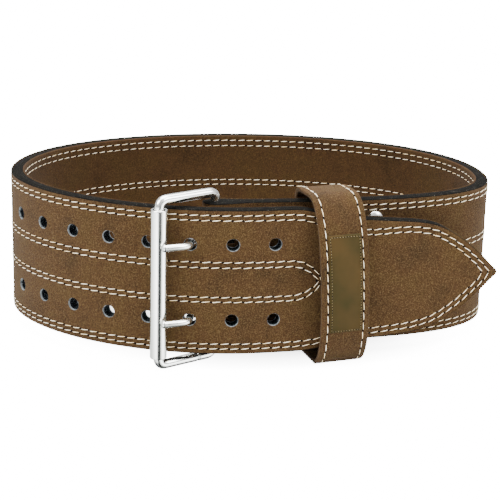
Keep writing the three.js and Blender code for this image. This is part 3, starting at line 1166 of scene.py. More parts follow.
class Seam:
    """Rows of stitches on a surface that is known flat."""

    # Rings along a stitch, as shares of its half length, and the points round each
    STATIONS = np.array([-0.96, -0.8, -0.35, 0.35, 0.8, 0.96])
    SIDES = 6
    # A needle mark, a lens of painted shade: points round it, its width to its length, and how
    # low and high it reaches
    MARK_SIDES = 8
    MARK_WIDTH = 0.6
    MARK_DEPTHS = (-0.1, 0.12)

    def __init__(self, stitch: Stitch, place: Place, inside: bool = False) -> None:
        """Keeps the stitch, the surface that it lies on, and which way its faces look."""
        self.stitch = stitch
        self.place = place
        self.inside = inside

    def _steps(self, paths: Sequence[Array], shift: float) -> tuple[Array, Array]:
        """Where something that repeats at the stitch's pitch falls on the rows.

        Args:
            paths: the rows, flat.
            shift: the share of a pitch before the first one.

        Returns:
            The middles and the directions.
        """
        half = self.stitch.length / 2
        middles, ways = [], []
        for path in paths:
            lengths = running_length(path)
            count = int(lengths[-1] // self.stitch.pitch)
            stops = (np.arange(count) + shift) * lengths[-1] / count
            before, after = (traced(stops + side * half, lengths, path) for side in (-1, 1))
            middles.append((after + before) / 2)
            ways.append(unit(after - before))
        return np.concatenate(middles), np.concatenate(ways)

    def _copies(self, shape: Body3D, middles: Array, ways: Array) -> Body3D:
        """A small shape laid on the surface at many places.

        Args:
            shape: its points are (along, aside, lift), and its faces look into the loop.
            middles: where its copies lie, flat.
            ways: their directions.

        Returns:
            All the copies as one body.
        """
        along, aside, lift = (shape.points[None, :, k] for k in range(3))
        flat = middles[:, None] + along[..., None] * ways[:, None]
        flat = flat + aside[..., None] * turned(ways)[:, None]
        lifts = np.repeat(lift, len(middles), 0)
        points = self.place(flat[..., 0].ravel(), lifts.ravel(), flat[..., 1].ravel())
        shift = (np.arange(len(middles)) * len(shape.points))[:, None, None]
        quads = (shape.quads + shift).reshape(-1, 4)
        tris = (shape.tris + shift).reshape(-1, 3)
        if not self.inside:
            quads, tris = quads[:, ::-1], tris[:, ::-1]
        return Body3D(points, quads, np.zeros(len(quads) + len(tris), int), tris)

    def threads(self, paths: Sequence[Array]) -> Body3D:
        """Every visible stitch of the rows.

        A stitch is a bowed rod. At share u of its half length its middle lies at
        rise (1 - u^2) over the surface, and its radius is r (1 - |u|^3)^(1/2).

        Args:
            paths: the rows, flat.

        Returns:
            The stitches as one body.
        """
        middles, ways = self._steps(paths, 0.5)
        slant = math.radians(self.stitch.slant)
        ways = ways * math.cos(slant) + turned(ways) * math.sin(slant)
        u = self.STATIONS
        angle = circle(self.SIDES)
        radius = (self.stitch.thread / 2 * np.sqrt(1 - np.abs(u) ** 3))[:, None]
        side = radius * np.cos(angle)
        lift = (self.stitch.rise * (1 - u**2))[:, None] + radius * np.sin(angle)
        run = np.repeat((u * self.stitch.length / 2)[:, None], self.SIDES, 1)
        rod = loft(np.stack([run, side, lift], -1))
        rod.points[-2:] = np.array([[-1, 0, 0], [1, 0, 0]]) * (self.stitch.length / 2, 1, 1)
        return self._copies(rod, middles, ways)

    def marks(self, paths: Sequence[Array]) -> Body3D:
        """A low lens of painted shade at each needle hole, between two stitches.

        Args:
            paths: the rows, flat.

        Returns:
            The marks as one body.
        """
        size, sides = self.stitch.mark, self.MARK_SIDES
        angle = circle(sides)
        border = [np.cos(angle) * size, np.sin(angle) * size * self.MARK_WIDTH, 0 * angle]
        poles = [(0.0, 0.0, depth) for depth in self.MARK_DEPTHS]
        around, ahead = np.arange(sides), np.roll(np.arange(sides), -1)
        low, high = np.full(sides, sides), np.full(sides, sides + 1)
        under, over = np.stack([ahead, around, low], 1), np.stack([around, ahead, high], 1)
        lens = Body3D(
            np.concatenate([np.stack(border, -1), poles]),
            np.zeros((0, 4), int),
            np.zeros(2 * sides, int),
            np.concatenate([under, over]),
        )
        return self._copies(lens, *self._steps(paths, 0.0))


def add_thread_map(piece: bpy.types.Object) -> None:
    """Gives a seam its own map: each corner's distance along and round the thread.

    Args:
        piece: the seam's stitches.
    """
    mesh = piece.data
    layer = mesh.uv_layers.new(name="thread")
    corners = np.zeros(len(mesh.loops), np.int32)
    mesh.loops.foreach_get("vertex_index", corners)
    spots = np.zeros(len(mesh.vertices) * 3, np.float32)
    mesh.vertices.foreach_get("co", spots)
    spots = spots.reshape(-1, 3)[corners]
    layer.data.foreach_set("uv", np.stack([spots[:, 0] + spots[:, 1], spots[:, 2]], 1).ravel())


def sew(
    shop: Workshop,
    name: str,
    seam: Seam,
    paths: Sequence[Array],
    finishes: tuple[bpy.types.Material, bpy.types.Material],
    slot: str,
) -> None:
    """Makes a seam's stitches, and the needle marks of painted shade between them.

    Args:
        shop: makes the pieces.
        name: the first word of their names.
        seam: the stitch and its surface.
        paths: the rows, flat.
        finishes: the thread's material, and the marks' painted shade.
        slot: the record's material slot.
    """
    thread, mark = finishes
    add_thread_map(shop.make(f"{name}_stitches", seam.threads(paths), (thread,), slot))
    shop.make(f"{name}_needle_hole_painted_shades", seam.marks(paths), (mark,), slot)


@dataclass
class Part:
    """A part of the belt, which follows the strap's route and takes the belt's finishes."""

    route: StrapRoute
    finishes: Finishes

    @property
    def sizes(self) -> BeltSizes:
        """The belt's sizes."""
        return self.route.sizes


@dataclass
class Strap(Part):
    """The strap: black core, outer suede, suede lining and their stitching.

    Its lengths are in millimetres: the grid's step and the blunt tip's width, the rims'
    rounding, the rows' distances from the edges, and the middle rows' heights and tips.
    """

    # Lines from the tongue's tip to the first hole, and the power that crowds them to the tip
    TAPER_LINES = 56
    TAPER_POWER = 1.5
    # Cells between two holes' patches, and from the edge to a patch and between its rows
    PITCH_CELLS = 4
    EDGE_CELLS = 5
    MIDDLE_CELLS = 9
    # A rim point this near to a hole's circle belongs to the hole
    NEAR_HOLE = 0.3
    # The core's nose ends at this share of its radius, where it still has a thickness
    NOSE_SHARE = 0.998

    outline: Outline
    step: float = 3.4
    blunt: float = 0.9
    core_crown: float = 0.7
    suede_inset: float = 0.1
    suede_round: float = 0.8
    suede_back: float = 0.04
    hole_round: float = 0.25
    cut_round: float = 0.2
    outer_rows: tuple[float, ...] = (4.0, 7.5)
    lining_rows: tuple[float, ...] = (3.8, 8.2)
    middle_rows: tuple[tuple[float, float, float], ...] = (
        (65.2, 37.35, 125.9),
        (61.4, 40.7, 128.4),
    )
    arch_length: float = 20.0
    rows_stop: float = 84.0
    arch_centre: float = 49.9
    point: float = 3.5
    dip: float = 3.6
    dip_at: float = 97.0
    dip_reach: float = 22.0

    def _along_lines(self, start: float, stop: float) -> Array:
        """Lines along the strap: close at the tip, and on the borders of the holes' patches.

        Args:
            start: the first line's distance from the tongue's tip.
            stop: the last line's.

        Returns:
            The lines' distances.
        """
        sizes = self.sizes
        first = sizes.first_hole - HOLE_PATCH
        runs = [start + (first - start) * np.linspace(0, 1, self.TAPER_LINES) ** self.TAPER_POWER]
        for column in range(sizes.hole_columns):
            low = first + column * sizes.hole_pitch
            high, after = low + 2 * HOLE_PATCH, low + sizes.hole_pitch
            runs.append(np.linspace(low, high, PATCH_CELLS + 1))
            runs.append(np.linspace(high, after, self.PITCH_CELLS + 1)[1:-1])
        tail = runs[-1][-1]
        runs.append(np.linspace(tail, stop, int((stop - tail) / self.step) + 1)[1:])
        return self._distinct(np.concatenate(runs))

    def _across_lines(self) -> Array:
        """Lines across the strap, on the borders of the holes' patches.

        Returns:
            The lines' distances.
        """
        sizes = self.sizes
        upper, lower = (row + np.array([-1, 1]) * HOLE_PATCH for row in sizes.hole_rows)
        stops = (0, *lower, *upper)
        cells = (self.EDGE_CELLS, PATCH_CELLS, self.MIDDLE_CELLS, PATCH_CELLS, self.EDGE_CELLS)
        ends = (*stops[1:], sizes.strap_width)
        runs = [np.linspace(a, b, n + 1) for a, b, n in zip(stops, ends, cells)]
        return self._distinct(np.concatenate(runs))

    @staticmethod
    def _distinct(lines: Array) -> Array:
        """The lines in order, without those that fall together."""
        lines = np.sort(lines)
        return lines[np.concatenate([[True], np.diff(lines) > TOUCH])]

    def _slots(self, low: float, high: float) -> list[tuple[float, float, float, float]]:
        """The prongs' slots, from low to high along a ply."""
        half = self.sizes.slot_height / 2
        return [(low, high, row - half, row + half) for row in self.sizes.hole_rows]

    def _with(self, lines: Array, extra: Sequence[float], keep: float = 0.6) -> Array:
        """Adds exact lines, and drops those that lie too close to them."""
        near = np.abs(lines[:, None] - np.asarray(extra)[None]).min(1) < keep
        return np.sort(np.concatenate([lines[~near], extra]))

    def _rims(self, radius: float, ends: float) -> Callable[[Array], Array]:
        """Tells whether a rim point is on the outline, on a hole or on another cut.

        Args:
            radius: the holes' radius.
            ends: beyond this distance along, a rim away from the edges is a cut.

        Returns:
            A function from flat points to kinds of rim.
        """
        sizes = self.sizes

        def kinds(points: Array) -> Array:
            """The kind of rim at each flat point."""
            along, from_middle = points[:, 0], np.abs(points[:, 1] - sizes.strap_width / 2)
            from_holes = np.linalg.norm(points[:, None] - sizes.holes[None], axis=2).min(1)
            found = np.full(len(points), Rim.OUTLINE.value)
            inner = from_middle < (sizes.strap_width - sizes.hole_edge) / 2
            found[(along > ends) & inner] = Rim.CUT.value
            found[from_holes < radius + self.NEAR_HOLE] = Rim.HOLE.value
            return found

        return kinds

    def core(self) -> Body3D:
        """The core, whose rim bulges by 1 - level^4, so that the cut edge is softly domed.

        Its nose stops just short of the rear bar's far side, where its thickness ends.

        Returns:
            The core.
        """
        sizes, length = self.sizes, self.route.length
        start = self.outline.tip(self.core_crown, self.blunt)
        slot = length - sizes.slot_length
        nose = length + sizes.eye_radius * self.NOSE_SHARE * np.sin(quarter(9)[1:])
        along = self._with(self._along_lines(start, length), [slot, length])
        across = self._slotted_across()
        notches = self._slots(slot, length + 2 * sizes.eye_radius)
        radius = sizes.hole_diameter / 2
        cut = perforated(np.concatenate([along, nose]), across, sizes.holes, radius, notches)
        cut.points = self.outline.fit(cut.points, self.core_crown)
        levels = np.cos(np.linspace(0, np.pi, 11))
        profile = np.stack([1 - levels**4, levels], 1)
        rims = self._rims(radius, length - sizes.slot_length - 1)
        return ply(cut, profile, rims, (self.core_crown, 0.0, 0.0), self.route.core_point)

    def _slotted_across(self) -> Array:
        """Lines across the strap, the nearest of them moved to the prongs' slots' borders.

        Returns:
            The lines' distances.
        """
        rows = self.sizes.hole_rows
        sides = [(row, side) for row in rows for side in (-1, 1)]
        patch = [row + side * HOLE_PATCH * k / 4 for row, side in sides for k in range(5)]
        lines = self._across_lines()
        moved = lines.copy()
        for row, side in sides:
            border = row + side * self.sizes.slot_height / 2
            nearest = min(patch, key=lambda line: abs(line - border))
            if nearest not in rows:
                moved[np.argmin(np.abs(lines - nearest))] = border
        return moved

    def _skin(self, lines: Array, notches: list, ends: float, place: Place, flip: bool) -> Body3D:
        """A suede ply, whose edge rounds over by a quarter of an ellipse onto the core.

        Args:
            lines: its lines along the strap.
            notches: what the prongs' slots take out of it.
            ends: beyond this distance along, a rim away from the edges is a cut.
            place: puts it on the core's face.
            flip: for the ply that looks into the loop.

        Returns:
            The ply.
        """
        sizes = self.sizes
        radius = sizes.hole_diameter / 2 + self.hole_round
        cut = perforated(lines, self._slotted_across(), sizes.holes, radius, notches)
        cut.points = self.outline.fit(cut.points, self.suede_inset + self.suede_round)
        turn, back = quarter(6), self.suede_back
        levels = back + (sizes.suede_lift - back) * np.cos(turn)
        profile = np.stack([np.sin(turn), levels], 1)
        reach = (self.suede_round, self.hole_round, self.cut_round)
        return ply(cut, profile, self._rims(radius, ends), reach, place, flip)

    def outer_suede(self) -> Body3D:
        """The outer suede, from the tip round the rear bar to its turned-back end.

        Returns:
            The ply.
        """
        sizes, length = self.sizes, self.route.length
        start = self.outline.tip(self.suede_inset + self.suede_round, self.blunt)
        turn = self.route.nose_turn
        low, high = length - sizes.slot_length, length + turn + sizes.slot_length
        stop = length + turn + sizes.suede_turn_back
        nose = np.linspace(length, length + turn, 15)
        lines = self._with(self._along_lines(start, stop), [low, *nose, high])
        return self._skin(lines, self._slots(low, high), low - 1, self.route.outer_point, False)

    def inner_suede(self) -> Body3D:
        """The suede lining, from the tip to the turned-back end of the outer suede."""
        start = self.outline.tip(self.suede_inset + self.suede_round, self.blunt)
        stop = self.route.length - self.sizes.suede_turn_back - self.sizes.gap
        lines = self._along_lines(start, stop)
        return self._skin(lines, [], stop - 0.5, self.route.inner_point, True)

    def edge_row(self, inset: float, stop: float) -> Array:
        """A row that follows both edges and meets in a point near the tongue's tip.

        Beside the keeper the upper row dips by a bell curve, dip exp(-(x / reach)^2).

        Args:
            inset: the row's distance from the edges.
            stop: where it ends along the strap.

        Returns:
            The row, flat.
        """
        along = np.linspace(inset, stop, 2400)
        low, high = self.outline.edges(along, inset)
        high = high - self.dip * np.exp(-(((along - self.dip_at) / self.dip_reach) ** 2))
        open_part = high - low > self.point
        upper = np.stack([along, high], 1)[open_part][::-1]
        lower = np.stack([along, low], 1)[open_part]
        return np.concatenate([upper, lower])

    def middle_row(self, upper: float, lower: float, tip: float, stop: float) -> Array:
        """A pair of middle rows that close in a pointed arch under the keeper.

        With x as the share of the arch's length, each side stands off the arch's centre by
        its row's distance times sin(pi / 2 x^0.8).

        Args:
            upper: the upper row's height.
            lower: the lower row's height.
            tip: the arch's tip along the strap.
            stop: where the rows end along it.

        Returns:
            The pair as one path, flat.
        """
        share = np.linspace(0.0, 1.0, 80)
        spread = np.sin(np.pi / 2 * share**0.8)
        along = tip + self.arch_length * share
        sides = [
            np.stack([along, self.arch_centre + (row - self.arch_centre) * spread], 1)
            for row in (upper, lower)
        ]
        ends = [np.array([(stop, row)]) for row in (upper, lower)]
        return np.concatenate([ends[0], sides[0][::-1], sides[1][1:], ends[1]])

    def seam_paths(self, insets: Sequence[float], stop: float) -> list[Array]:
        """All of a face's rows, up to a distance along the strap."""
        edge = [self.edge_row(inset, stop) for inset in insets]
        return edge + [self.middle_row(*rows, stop) for rows in self.middle_rows]

    def build(self, shop: Workshop) -> None:
        """Makes the plies and the seams of both faces.

        Args:
            shop: makes the pieces.
        """
        made, route = self.finishes, self.route
        # The core's hole walls are painted near-black as the shade deep in each hole
        core = (made.edge, made.edge, made.hole, made.edge)
        outer = (made.suede, made.edge, made.raw, made.suede)
        inner = (made.lining, made.lining, made.raw, made.lining)
        shop.make("strap_core", self.core(), core, "black_leather", "belt_core")
        shop.make("strap_outer_suede", self.outer_suede(), outer, "brown_suede", "outer_suede")
        shop.make("strap_lining", self.inner_suede(), inner, "lining_suede", "inner_suede")
        stop = route.length - self.rows_stop
        for name, stitch, insets, place, inside in (
            ("outer", OUTER_STITCH, self.outer_rows, route.outer_point, False),
            ("lining", LINING_STITCH, self.lining_rows, route.inner_point, True),
        ):
            seam = Seam(stitch, self._over(place), inside)
            paths = self.seam_paths(insets, stop)
            sew(shop, name, seam, paths, (made.cream_thread, made.mark), "brown_suede")

    def _over(self, place: Place) -> Place:
        """Raises a place function so that lift counts from the suede's surface."""
        lift = self.sizes.suede_lift

        def raised(along: Array, height: Array, across: Array) -> Array:
            """Places a point at a height over the suede."""
            return place(along, height + lift, across)

        return raised


class Buckle(Part):
    """The double prong roller buckle."""

    # Rings are this far apart on the frame's wire and on the prongs, and the first and last
    # ones are this much smaller
    FRAME_STEP = 0.9
    PRONG_STEP = 0.8
    END_BEVEL = 0.5
    # The prong's eye is drawn through points this many degrees apart
    EYE_STEP = 24
    ROLLER_SIDES = 64

    def frame_wire(self) -> Body3D:
        """One wire round a rectangle, with quadratic bends (1-t)^2 a + 2(1-t)t b + t^2 c.

        Returns:
            The wire, with its seam in the lower bar.
        """
        sizes = self.sizes
        bottom = -sizes.frame_overhang - sizes.frame_drop
        top = sizes.strap_width + sizes.frame_overhang - sizes.frame_drop
        reach, seam = sizes.frame_reach, sizes.seam_place
        corners = np.array([(0, bottom), (0, top), (reach, top), (reach, bottom)], float)
        start, stop = np.array([seam, bottom]), np.array([seam + sizes.wire_seam, bottom])
        t = np.linspace(0, 1, 14)[:, None]
        path, here = [start[None]], start
        for corner, ahead in zip(corners, [*corners[1:], stop]):
            enter, leave = (
                corner + unit(side - corner) * sizes.bend_radius for side in (here, ahead)
            )
            path.append((1 - t) ** 2 * enter + 2 * (1 - t) * t * corner + t * t * leave)
            here = leave
        flat = resample(np.concatenate([*path, stop[None]]), self.FRAME_STEP)
        plan = self.route.roller + flat[:, :1] * self.route.frame_way
        radius = np.full(len(flat), sizes.wire_diameter / 2)
        radius[[0, -1]] -= self.END_BEVEL
        normal = standing(-turned(self.route.frame_way[None]), 0.0)[0]
        return tube(standing(plan, flat[:, 1]), radius, normal)

    def roller_tube(self) -> Body3D:
        """A tube with its lips turned in: a closed profile round its own axis.

        Returns:
            The roller, whose bore has the second finish.
        """
        sizes, lip, ease = self.sizes, 0.7, np.array([(0.3, 0.0), (0.0, -0.4)])
        half, bore = sizes.roller_length / 2, sizes.roller_bore / 2
        turn, outer = quarter(6), sizes.roller_diameter / 2
        curl = np.stack([outer - lip + lip * np.cos(turn), half - lip + lip * np.sin(turn)], 1)
        upper = np.concatenate([curl, ease + (bore, half)])
        lower = upper[::-1] * (1, -1)
        shape = lathe(np.concatenate([lower, upper, lower[:1]]), self.ROLLER_SIDES)
        shape.finish[-self.ROLLER_SIDES :] = 1
        centre = standing(self.route.roller, sizes.strap_width / 2 - sizes.roller_drop)
        shape.points = shape.points + centre
        return shape

    def prong_wire(self, row: float) -> Body3D:
        """A prong: an eye round the rear bar, a shank behind the tongue and a blunt end.

        It comes through its hole beside the tongue's cut and lands on the roller.

        Args:
            row: its height.

        Returns:
            The prong.
        """
        sizes, route = self.sizes, self.route
        half = sizes.prong_diameter / 2
        middle, way, out = route.at(np.array(sizes.first_hole + sizes.used_hole * sizes.hole_pitch))

        def beside(past: float, outward: float) -> Array:
            """A place near the hole: how far past its middle, and how far out."""
            return middle + way * past + out * outward

        behind = beside(
            -half - sizes.hole_diameter / 2 + sizes.gap, -sizes.suede_face - sizes.gap - 2 * half
        )
        eye = sizes.wire_diameter / 2 + sizes.bar_clear + half
        reach = behind - route.rear_bar
        lean = math.acos(eye / np.linalg.norm(reach))
        leave = math.degrees(math.atan2(reach[1], reach[0]) + lean)
        turns = np.arange(sizes.prong_eye_turn, -1, -self.EYE_STEP)
        loop = [route.rear_bar + heading(leave + turn) * eye for turn in turns]
        landing = math.degrees(math.atan2(route.seat_out[1], route.seat_out[0]))
        landing += sizes.prong_landing
        rest = sizes.roller_diameter / 2 + sizes.gap + half
        knots = np.array(
            [
                *loop,
                behind,
                beside(-sizes.gap, -sizes.suede_face),
                beside(sizes.gap, sizes.suede_face + half / 2),
                beside(half + sizes.gap, sizes.suede_face + 2 * half),
                route.roller + heading(landing) * rest,
            ]
        )
        path = resample(self._smooth(knots), self.PRONG_STEP)
        radius = np.full(len(path), half)
        radius[[0, -1]] -= self.END_BEVEL
        return tube(standing(path, row), radius, UP, 24)

    @staticmethod
    def _smooth(knots: Array) -> Array:
        """A centripetal spline through knots, by linear blends over root-length intervals.

        Args:
            knots: the points that it passes.

        Returns:
            Sixteen points for each knot but the last.
        """
        first, last = 2 * knots[0] - knots[1], 2 * knots[-1] - knots[-2]
        spots = np.concatenate([[first], knots, [last]])
        gaps = np.sqrt(np.linalg.norm(np.diff(spots, axis=0), axis=1))
        share = np.linspace(0, 1, 16, endpoint=False)[:, None]
        runs = []
        for i in range(len(knots) - 1):
            p0, p1, p2, p3 = spots[i : i + 4]
            d0, d1, d2 = gaps[i : i + 3]
            m1 = (p1 - p0) / d0 - (p2 - p0) / (d0 + d1) + (p2 - p1) / d1
            m2 = (p2 - p1) / d1 - (p3 - p1) / (d1 + d2) + (p3 - p2) / d2
            runs.append(hermite(p1, p2, m1 * d1, m2 * d1, share))
        return np.concatenate([*runs, knots[-1:]])

    def build(self, shop: Workshop) -> None:
        """Makes the frame, the roller and the prongs.

        Args:
            shop: makes the pieces.
        """
        steel, bore, slot = self.finishes.steel, self.finishes.bore, "polished_steel"
        roller = self.roller_tube()
        shop.make("buckle_wire", self.frame_wire(), (steel,), slot, "buckle_frame")
        shop.make("roller_tube", roller, (steel, bore), slot, "buckle_roller", rides=Body.ROLLER)
        for name, row in zip(("upper", "lower"), self.sizes.hole_rows):
            wire = self.prong_wire(row)
            shop.make(f"prong_wire_{name}", wire, (steel,), slot, f"prong_{name}")


class Rivets(Part):
    """The four rivets through the strap's folded end."""

    # The shank's radius, the burr's thickness, how far the two heads' rims roll over, and how
    # far the dome's rim stands off the suede
    SHANK = 2.2
    BURR_THICK = 0.9
    ROLL = 0.5
    FOOT = 0.4

    def rivet(self, along: float, row: float) -> Body3D:
        """A burr inside the loop, a shank, and a dome with a rolled rim outside it.

        Args:
            along: its place along the strap.
            row: its height.

        Returns:
            The rivet.
        """
        sizes = self.sizes
        seat, head, burr = sizes.suede_face, sizes.rivet_head / 2, sizes.rivet_burr / 2
        low, roll = -seat - self.BURR_THICK, self.ROLL
        dome = sizes.rivet_dome - sizes.rivet_rim
        turn = quarter(10)
        cap = np.stack([head * np.cos(turn), seat + sizes.rivet_rim + dome * np.sin(turn)], 1)
        profile = np.concatenate(
            [
                [(0.0, -seat - roll), (burr * 0.4, low), (burr - roll, low)],
                [(burr, -seat - roll), (burr, -seat), (self.SHANK, -seat), (self.SHANK, seat)],
                [(head - roll, seat), (head, seat + self.FOOT)],
                cap,
            ]
        )
        shape = lathe(profile, 40)
        middle, _, out = self.route.at(np.array(along))
        side = standing(-turned(out[None]), 0.0)[0]
        basis = np.stack([side, np.array([0, 0, -1.0]), standing(out[None], 0.0)[0]])
        shape.points = shape.points @ basis + standing(middle, row)
        return shape

    def build(self, shop: Workshop) -> None:
        """Makes the rivets under the names of their places.

        Args:
            shop: makes the pieces.
        """
        sizes, steel = self.sizes, (self.finishes.steel,)
        left = self.route.length - sizes.rivet_from_bar
        rows = {"upper": sizes.strap_width - sizes.rivet_edge, "lower": sizes.rivet_edge}
        for side, along in (("left", left), ("right", left - sizes.rivet_spread)):
            for level, row in rows.items():
                place, shape = f"{side}_{level}", self.rivet(along, row)
                shop.make(f"rivet_cap_{place}", shape, steel, "polished_steel", f"rivet_{place}")


def all_outline(points: Array) -> Array:
    """Takes every rim point for the outline."""
    return np.full(len(points), Rim.OUTLINE.value)


@dataclass
class Keeper(Part):
    """The keeper loop, its stitching and its bare patch.

    Its rows lie stitch_edge from the band's edges. The patch sits label_rise over the
    band's middle, and its own row label_inset inside its edges.
    """

    # Points that draw the keeper's section, rings of the band, points on its outside and
    # points on each of its rows
    SECTION_POINTS = 2400
    BAND_RINGS = 220
    OUTSIDE_POINTS = 1600
    ROW_POINTS = 400
    # The strap also bears on the keeper up to half of this past each of its edges
    BEARING = 11

    stand: BeltFrame
    stitch_edge: float = 4.3
    label_rise: float = 1.8
    label_inset: float = 1.3
    label_round: float = 0.5
    band_round: float = 0.8

    def __post_init__(self) -> None:
        """Measures the strap's two thicknesses where the keeper holds them."""
        sizes = self.sizes
        self.along = heading(sizes.tongue_lean + sizes.keeper_turn)
        self.into = turned(self.along[None])[0]
        self.seat = self.route.at(np.array(sizes.keeper_from_tip))[0]
        stations = np.linspace(0, self.route.length, 1200)
        middle, _, out = self.route.at(stations)
        rise = (sizes.suede_face + self.route.swell(stations))[:, None]
        faces = np.concatenate([middle + out * rise, middle - out * rise]) - self.seat
        near = np.abs(faces @ self.along) < (sizes.keeper_width + self.BEARING) / 2
        depths = (faces @ self.into)[near]
        depths = depths[np.abs(depths) < sizes.loop_depth / 2]
        front, back = depths.min() - sizes.keeper_front_room, depths.max() + sizes.keeper_back_room
        self.middle, self.half_depth = (front + back) / 2, (back - front) / 2
        self.half_height = sizes.strap_width / 2 + sizes.keeper_slack
        self.level = sizes.strap_width / 2 - sizes.keeper_drop

    def point(self, width: Array, depth: Array, height: Array) -> Array:
        """Points from their place across the keeper's band, into the loop and up.

        The band leans in the strap's plane, by tan(lean) times the height over its middle.

        Args:
            width: distances from the band's middle line.
            depth: distances into the loop.
            height: distances over the strap's lower edge.

        Returns:
            Points in the upright frame.
        """
        lean = math.tan(math.radians(self.sizes.keeper_lean))
        shift = width - lean * (height - self.level)
        plan = self.seat + shift[..., None] * self.along + depth[..., None] * self.into
        return standing(plan, height)

    def section(self, grow: float, count: int) -> Array:
        """The keeper's section: |x/a|^n + |z/b|^n = 1, with n softer in front than behind.

        Args:
            grow: distance outside the band's inner face.
            count: how many points it has, evenly spaced.

        Returns:
            Depths and heights round it.
        """
        sizes, angle = self.sizes, circle(self.SECTION_POINTS)
        x, z = np.cos(angle), np.sin(angle)
        power = 2 / np.where(x < 0, sizes.keeper_front_square, sizes.keeper_back_square)
        x, z = (np.sign(side) * np.abs(side) ** power for side in (x, z))
        depth = self.middle + (self.half_depth + grow) * x
        ring = np.stack([depth, self.level + (self.half_height + grow) * z], 1)
        ring = np.concatenate([ring, ring[:1]])
        lengths = running_length(ring)
        return traced(np.linspace(0, lengths[-1], count, endpoint=False), lengths, ring)

    def settled(self, points: Array, grow: Array) -> Array:
        """Flattens what would reach below the level that the belt stands on.

        Args:
            points: points in the upright frame.
            grow: their distances from the band's inner face.

        Returns:
            The points, those that were too low raised square to the strap's edge.
        """
        low = np.maximum(self.sizes.keeper_wall - grow, 0.0) / METRE
        short = np.maximum(low - self.stand.place(points)[..., 2], 0) * METRE
        lean = self.stand.lean
        return points + short[..., None] * (0, -math.sin(lean), math.cos(lean))

    def band(self) -> Body3D:
        """The suede band: a rounded bar's outline carried round the section.

        Returns:
            The band.
        """
        half, wall, corner = self.sizes.keeper_width / 2, self.sizes.keeper_wall, self.band_round
        turn = quarter(5)
        arc = np.stack([np.cos(turn), np.sin(turn)], 1) * corner + (half - corner, wall - corner)
        face = np.linspace(half - corner, corner - half, 9)[1:-1]
        outer = np.stack([face, np.full(len(face), wall)], 1)
        top = np.concatenate([arc, outer, (arc * (-1, 1))[::-1]])
        profile = np.concatenate([top, (top * (1, -1) + (0, wall))[::-1]])
        base, rise = (self.section(grow, self.BAND_RINGS)[:, None] for grow in (0.0, wall))
        share = profile[None, :, 1:] / wall
        path = base * (1 - share) + rise * share
        width, grow = (np.broadcast_to(profile[:, k], path.shape[:2]) for k in (0, 1))
        rings = self.settled(self.point(width, path[..., 0], path[..., 1]), grow)
        return loft(rings, caps=False, closed=True)

    def front(self, lift: float) -> Place:
        """Lays (width, height over the lift, height) on the keeper's front.

        Args:
            lift: distance over the band's surface.

        Returns:
            The place function.
        """
        sizes = self.sizes

        def place(width: Array, raised: Array, height: Array) -> Array:
            """Places a point raised over the lift."""
            grow = sizes.keeper_wall + lift + raised
            share = np.abs((height - self.level) / (self.half_height + grow))
            bow = (1 - share**sizes.keeper_front_square) ** (1 / sizes.keeper_front_square)
            return self.point(width, self.middle - (self.half_depth + grow) * bow, height)

        return place

    def around(self) -> tuple[Place, float]:
        """Lays (width, lift, distance round) on the band's outside.

        Returns:
            The place function, and the band's length round its outside.
        """
        path = self.section(self.sizes.keeper_wall, self.OUTSIDE_POINTS)
        ring = np.concatenate([path, path[:1]])
        lengths = running_length(ring)
        outward = -turned(unit(np.gradient(ring, axis=0)))

        def place(width: Array, lift: Array, run: Array) -> Array:
            """Places a point at a lift over the band."""
            spot = traced(run, lengths, ring) + lift[..., None] * traced(run, lengths, outward)
            points = self.point(width, spot[..., 0], spot[..., 1])
            return self.settled(points, self.sizes.keeper_wall + lift)

        return place, float(lengths[-1])

    def label(self) -> Body3D:
        """The patch: a thin ply with a rounded rim, bent over the keeper's front.

        Returns:
            The patch.
        """
        sizes, bevel, turn = self.sizes, self.label_round, quarter(5)
        width = np.linspace(-1, 1, 13) * (sizes.label_width / 2 - bevel)
        height = np.linspace(-1, 1, 36) * (sizes.label_height / 2 - bevel)
        height = self.level + self.label_rise + height
        cut = perforated(width, height, np.zeros((0, 2)), 1.0)
        profile = np.stack([np.sin(turn), sizes.gap + sizes.label_thick * np.cos(turn)], 1)
        return ply(cut, profile, all_outline, (bevel, 0.0, 0.0), self.front(0.0), True)

    def build(self, shop: Workshop) -> None:
        """Makes the band, its two rows, the patch and its row.

        Args:
            shop: makes the pieces.
        """
        sizes, made = self.sizes, self.finishes
        shop.make("keeper_band", self.band(), (made.suede,), "brown_suede", "keeper")
        place, girth = self.around()
        row = sizes.keeper_width / 2 - self.stitch_edge
        runs = np.linspace(0, girth, self.ROW_POINTS)
        paths = [np.stack([np.full(len(runs), side * row), runs], 1) for side in (-1, 1)]
        threads = (made.cream_thread, made.mark)
        sew(shop, "keeper", Seam(KEEPER_STITCH, place), paths, threads, "brown_suede")
        patch = (made.patch, made.patch)
        shop.make("label_patch", self.label(), patch, "patch_leather", "keeper_label")
        half = np.array([sizes.label_width, sizes.label_height]) / 2 - self.label_inset
        corners = np.array([*SQUARE, SQUARE[0]]) * half
        border = resample(corners, 0.5) + (0, self.level + self.label_rise)
        fine = Seam(LABEL_STITCH, self.front(sizes.gap + sizes.label_thick), inside=True)
        threads = (made.olive_thread, made.mark)
        sew(shop, "label", fine, [border], threads, "patch_leather")


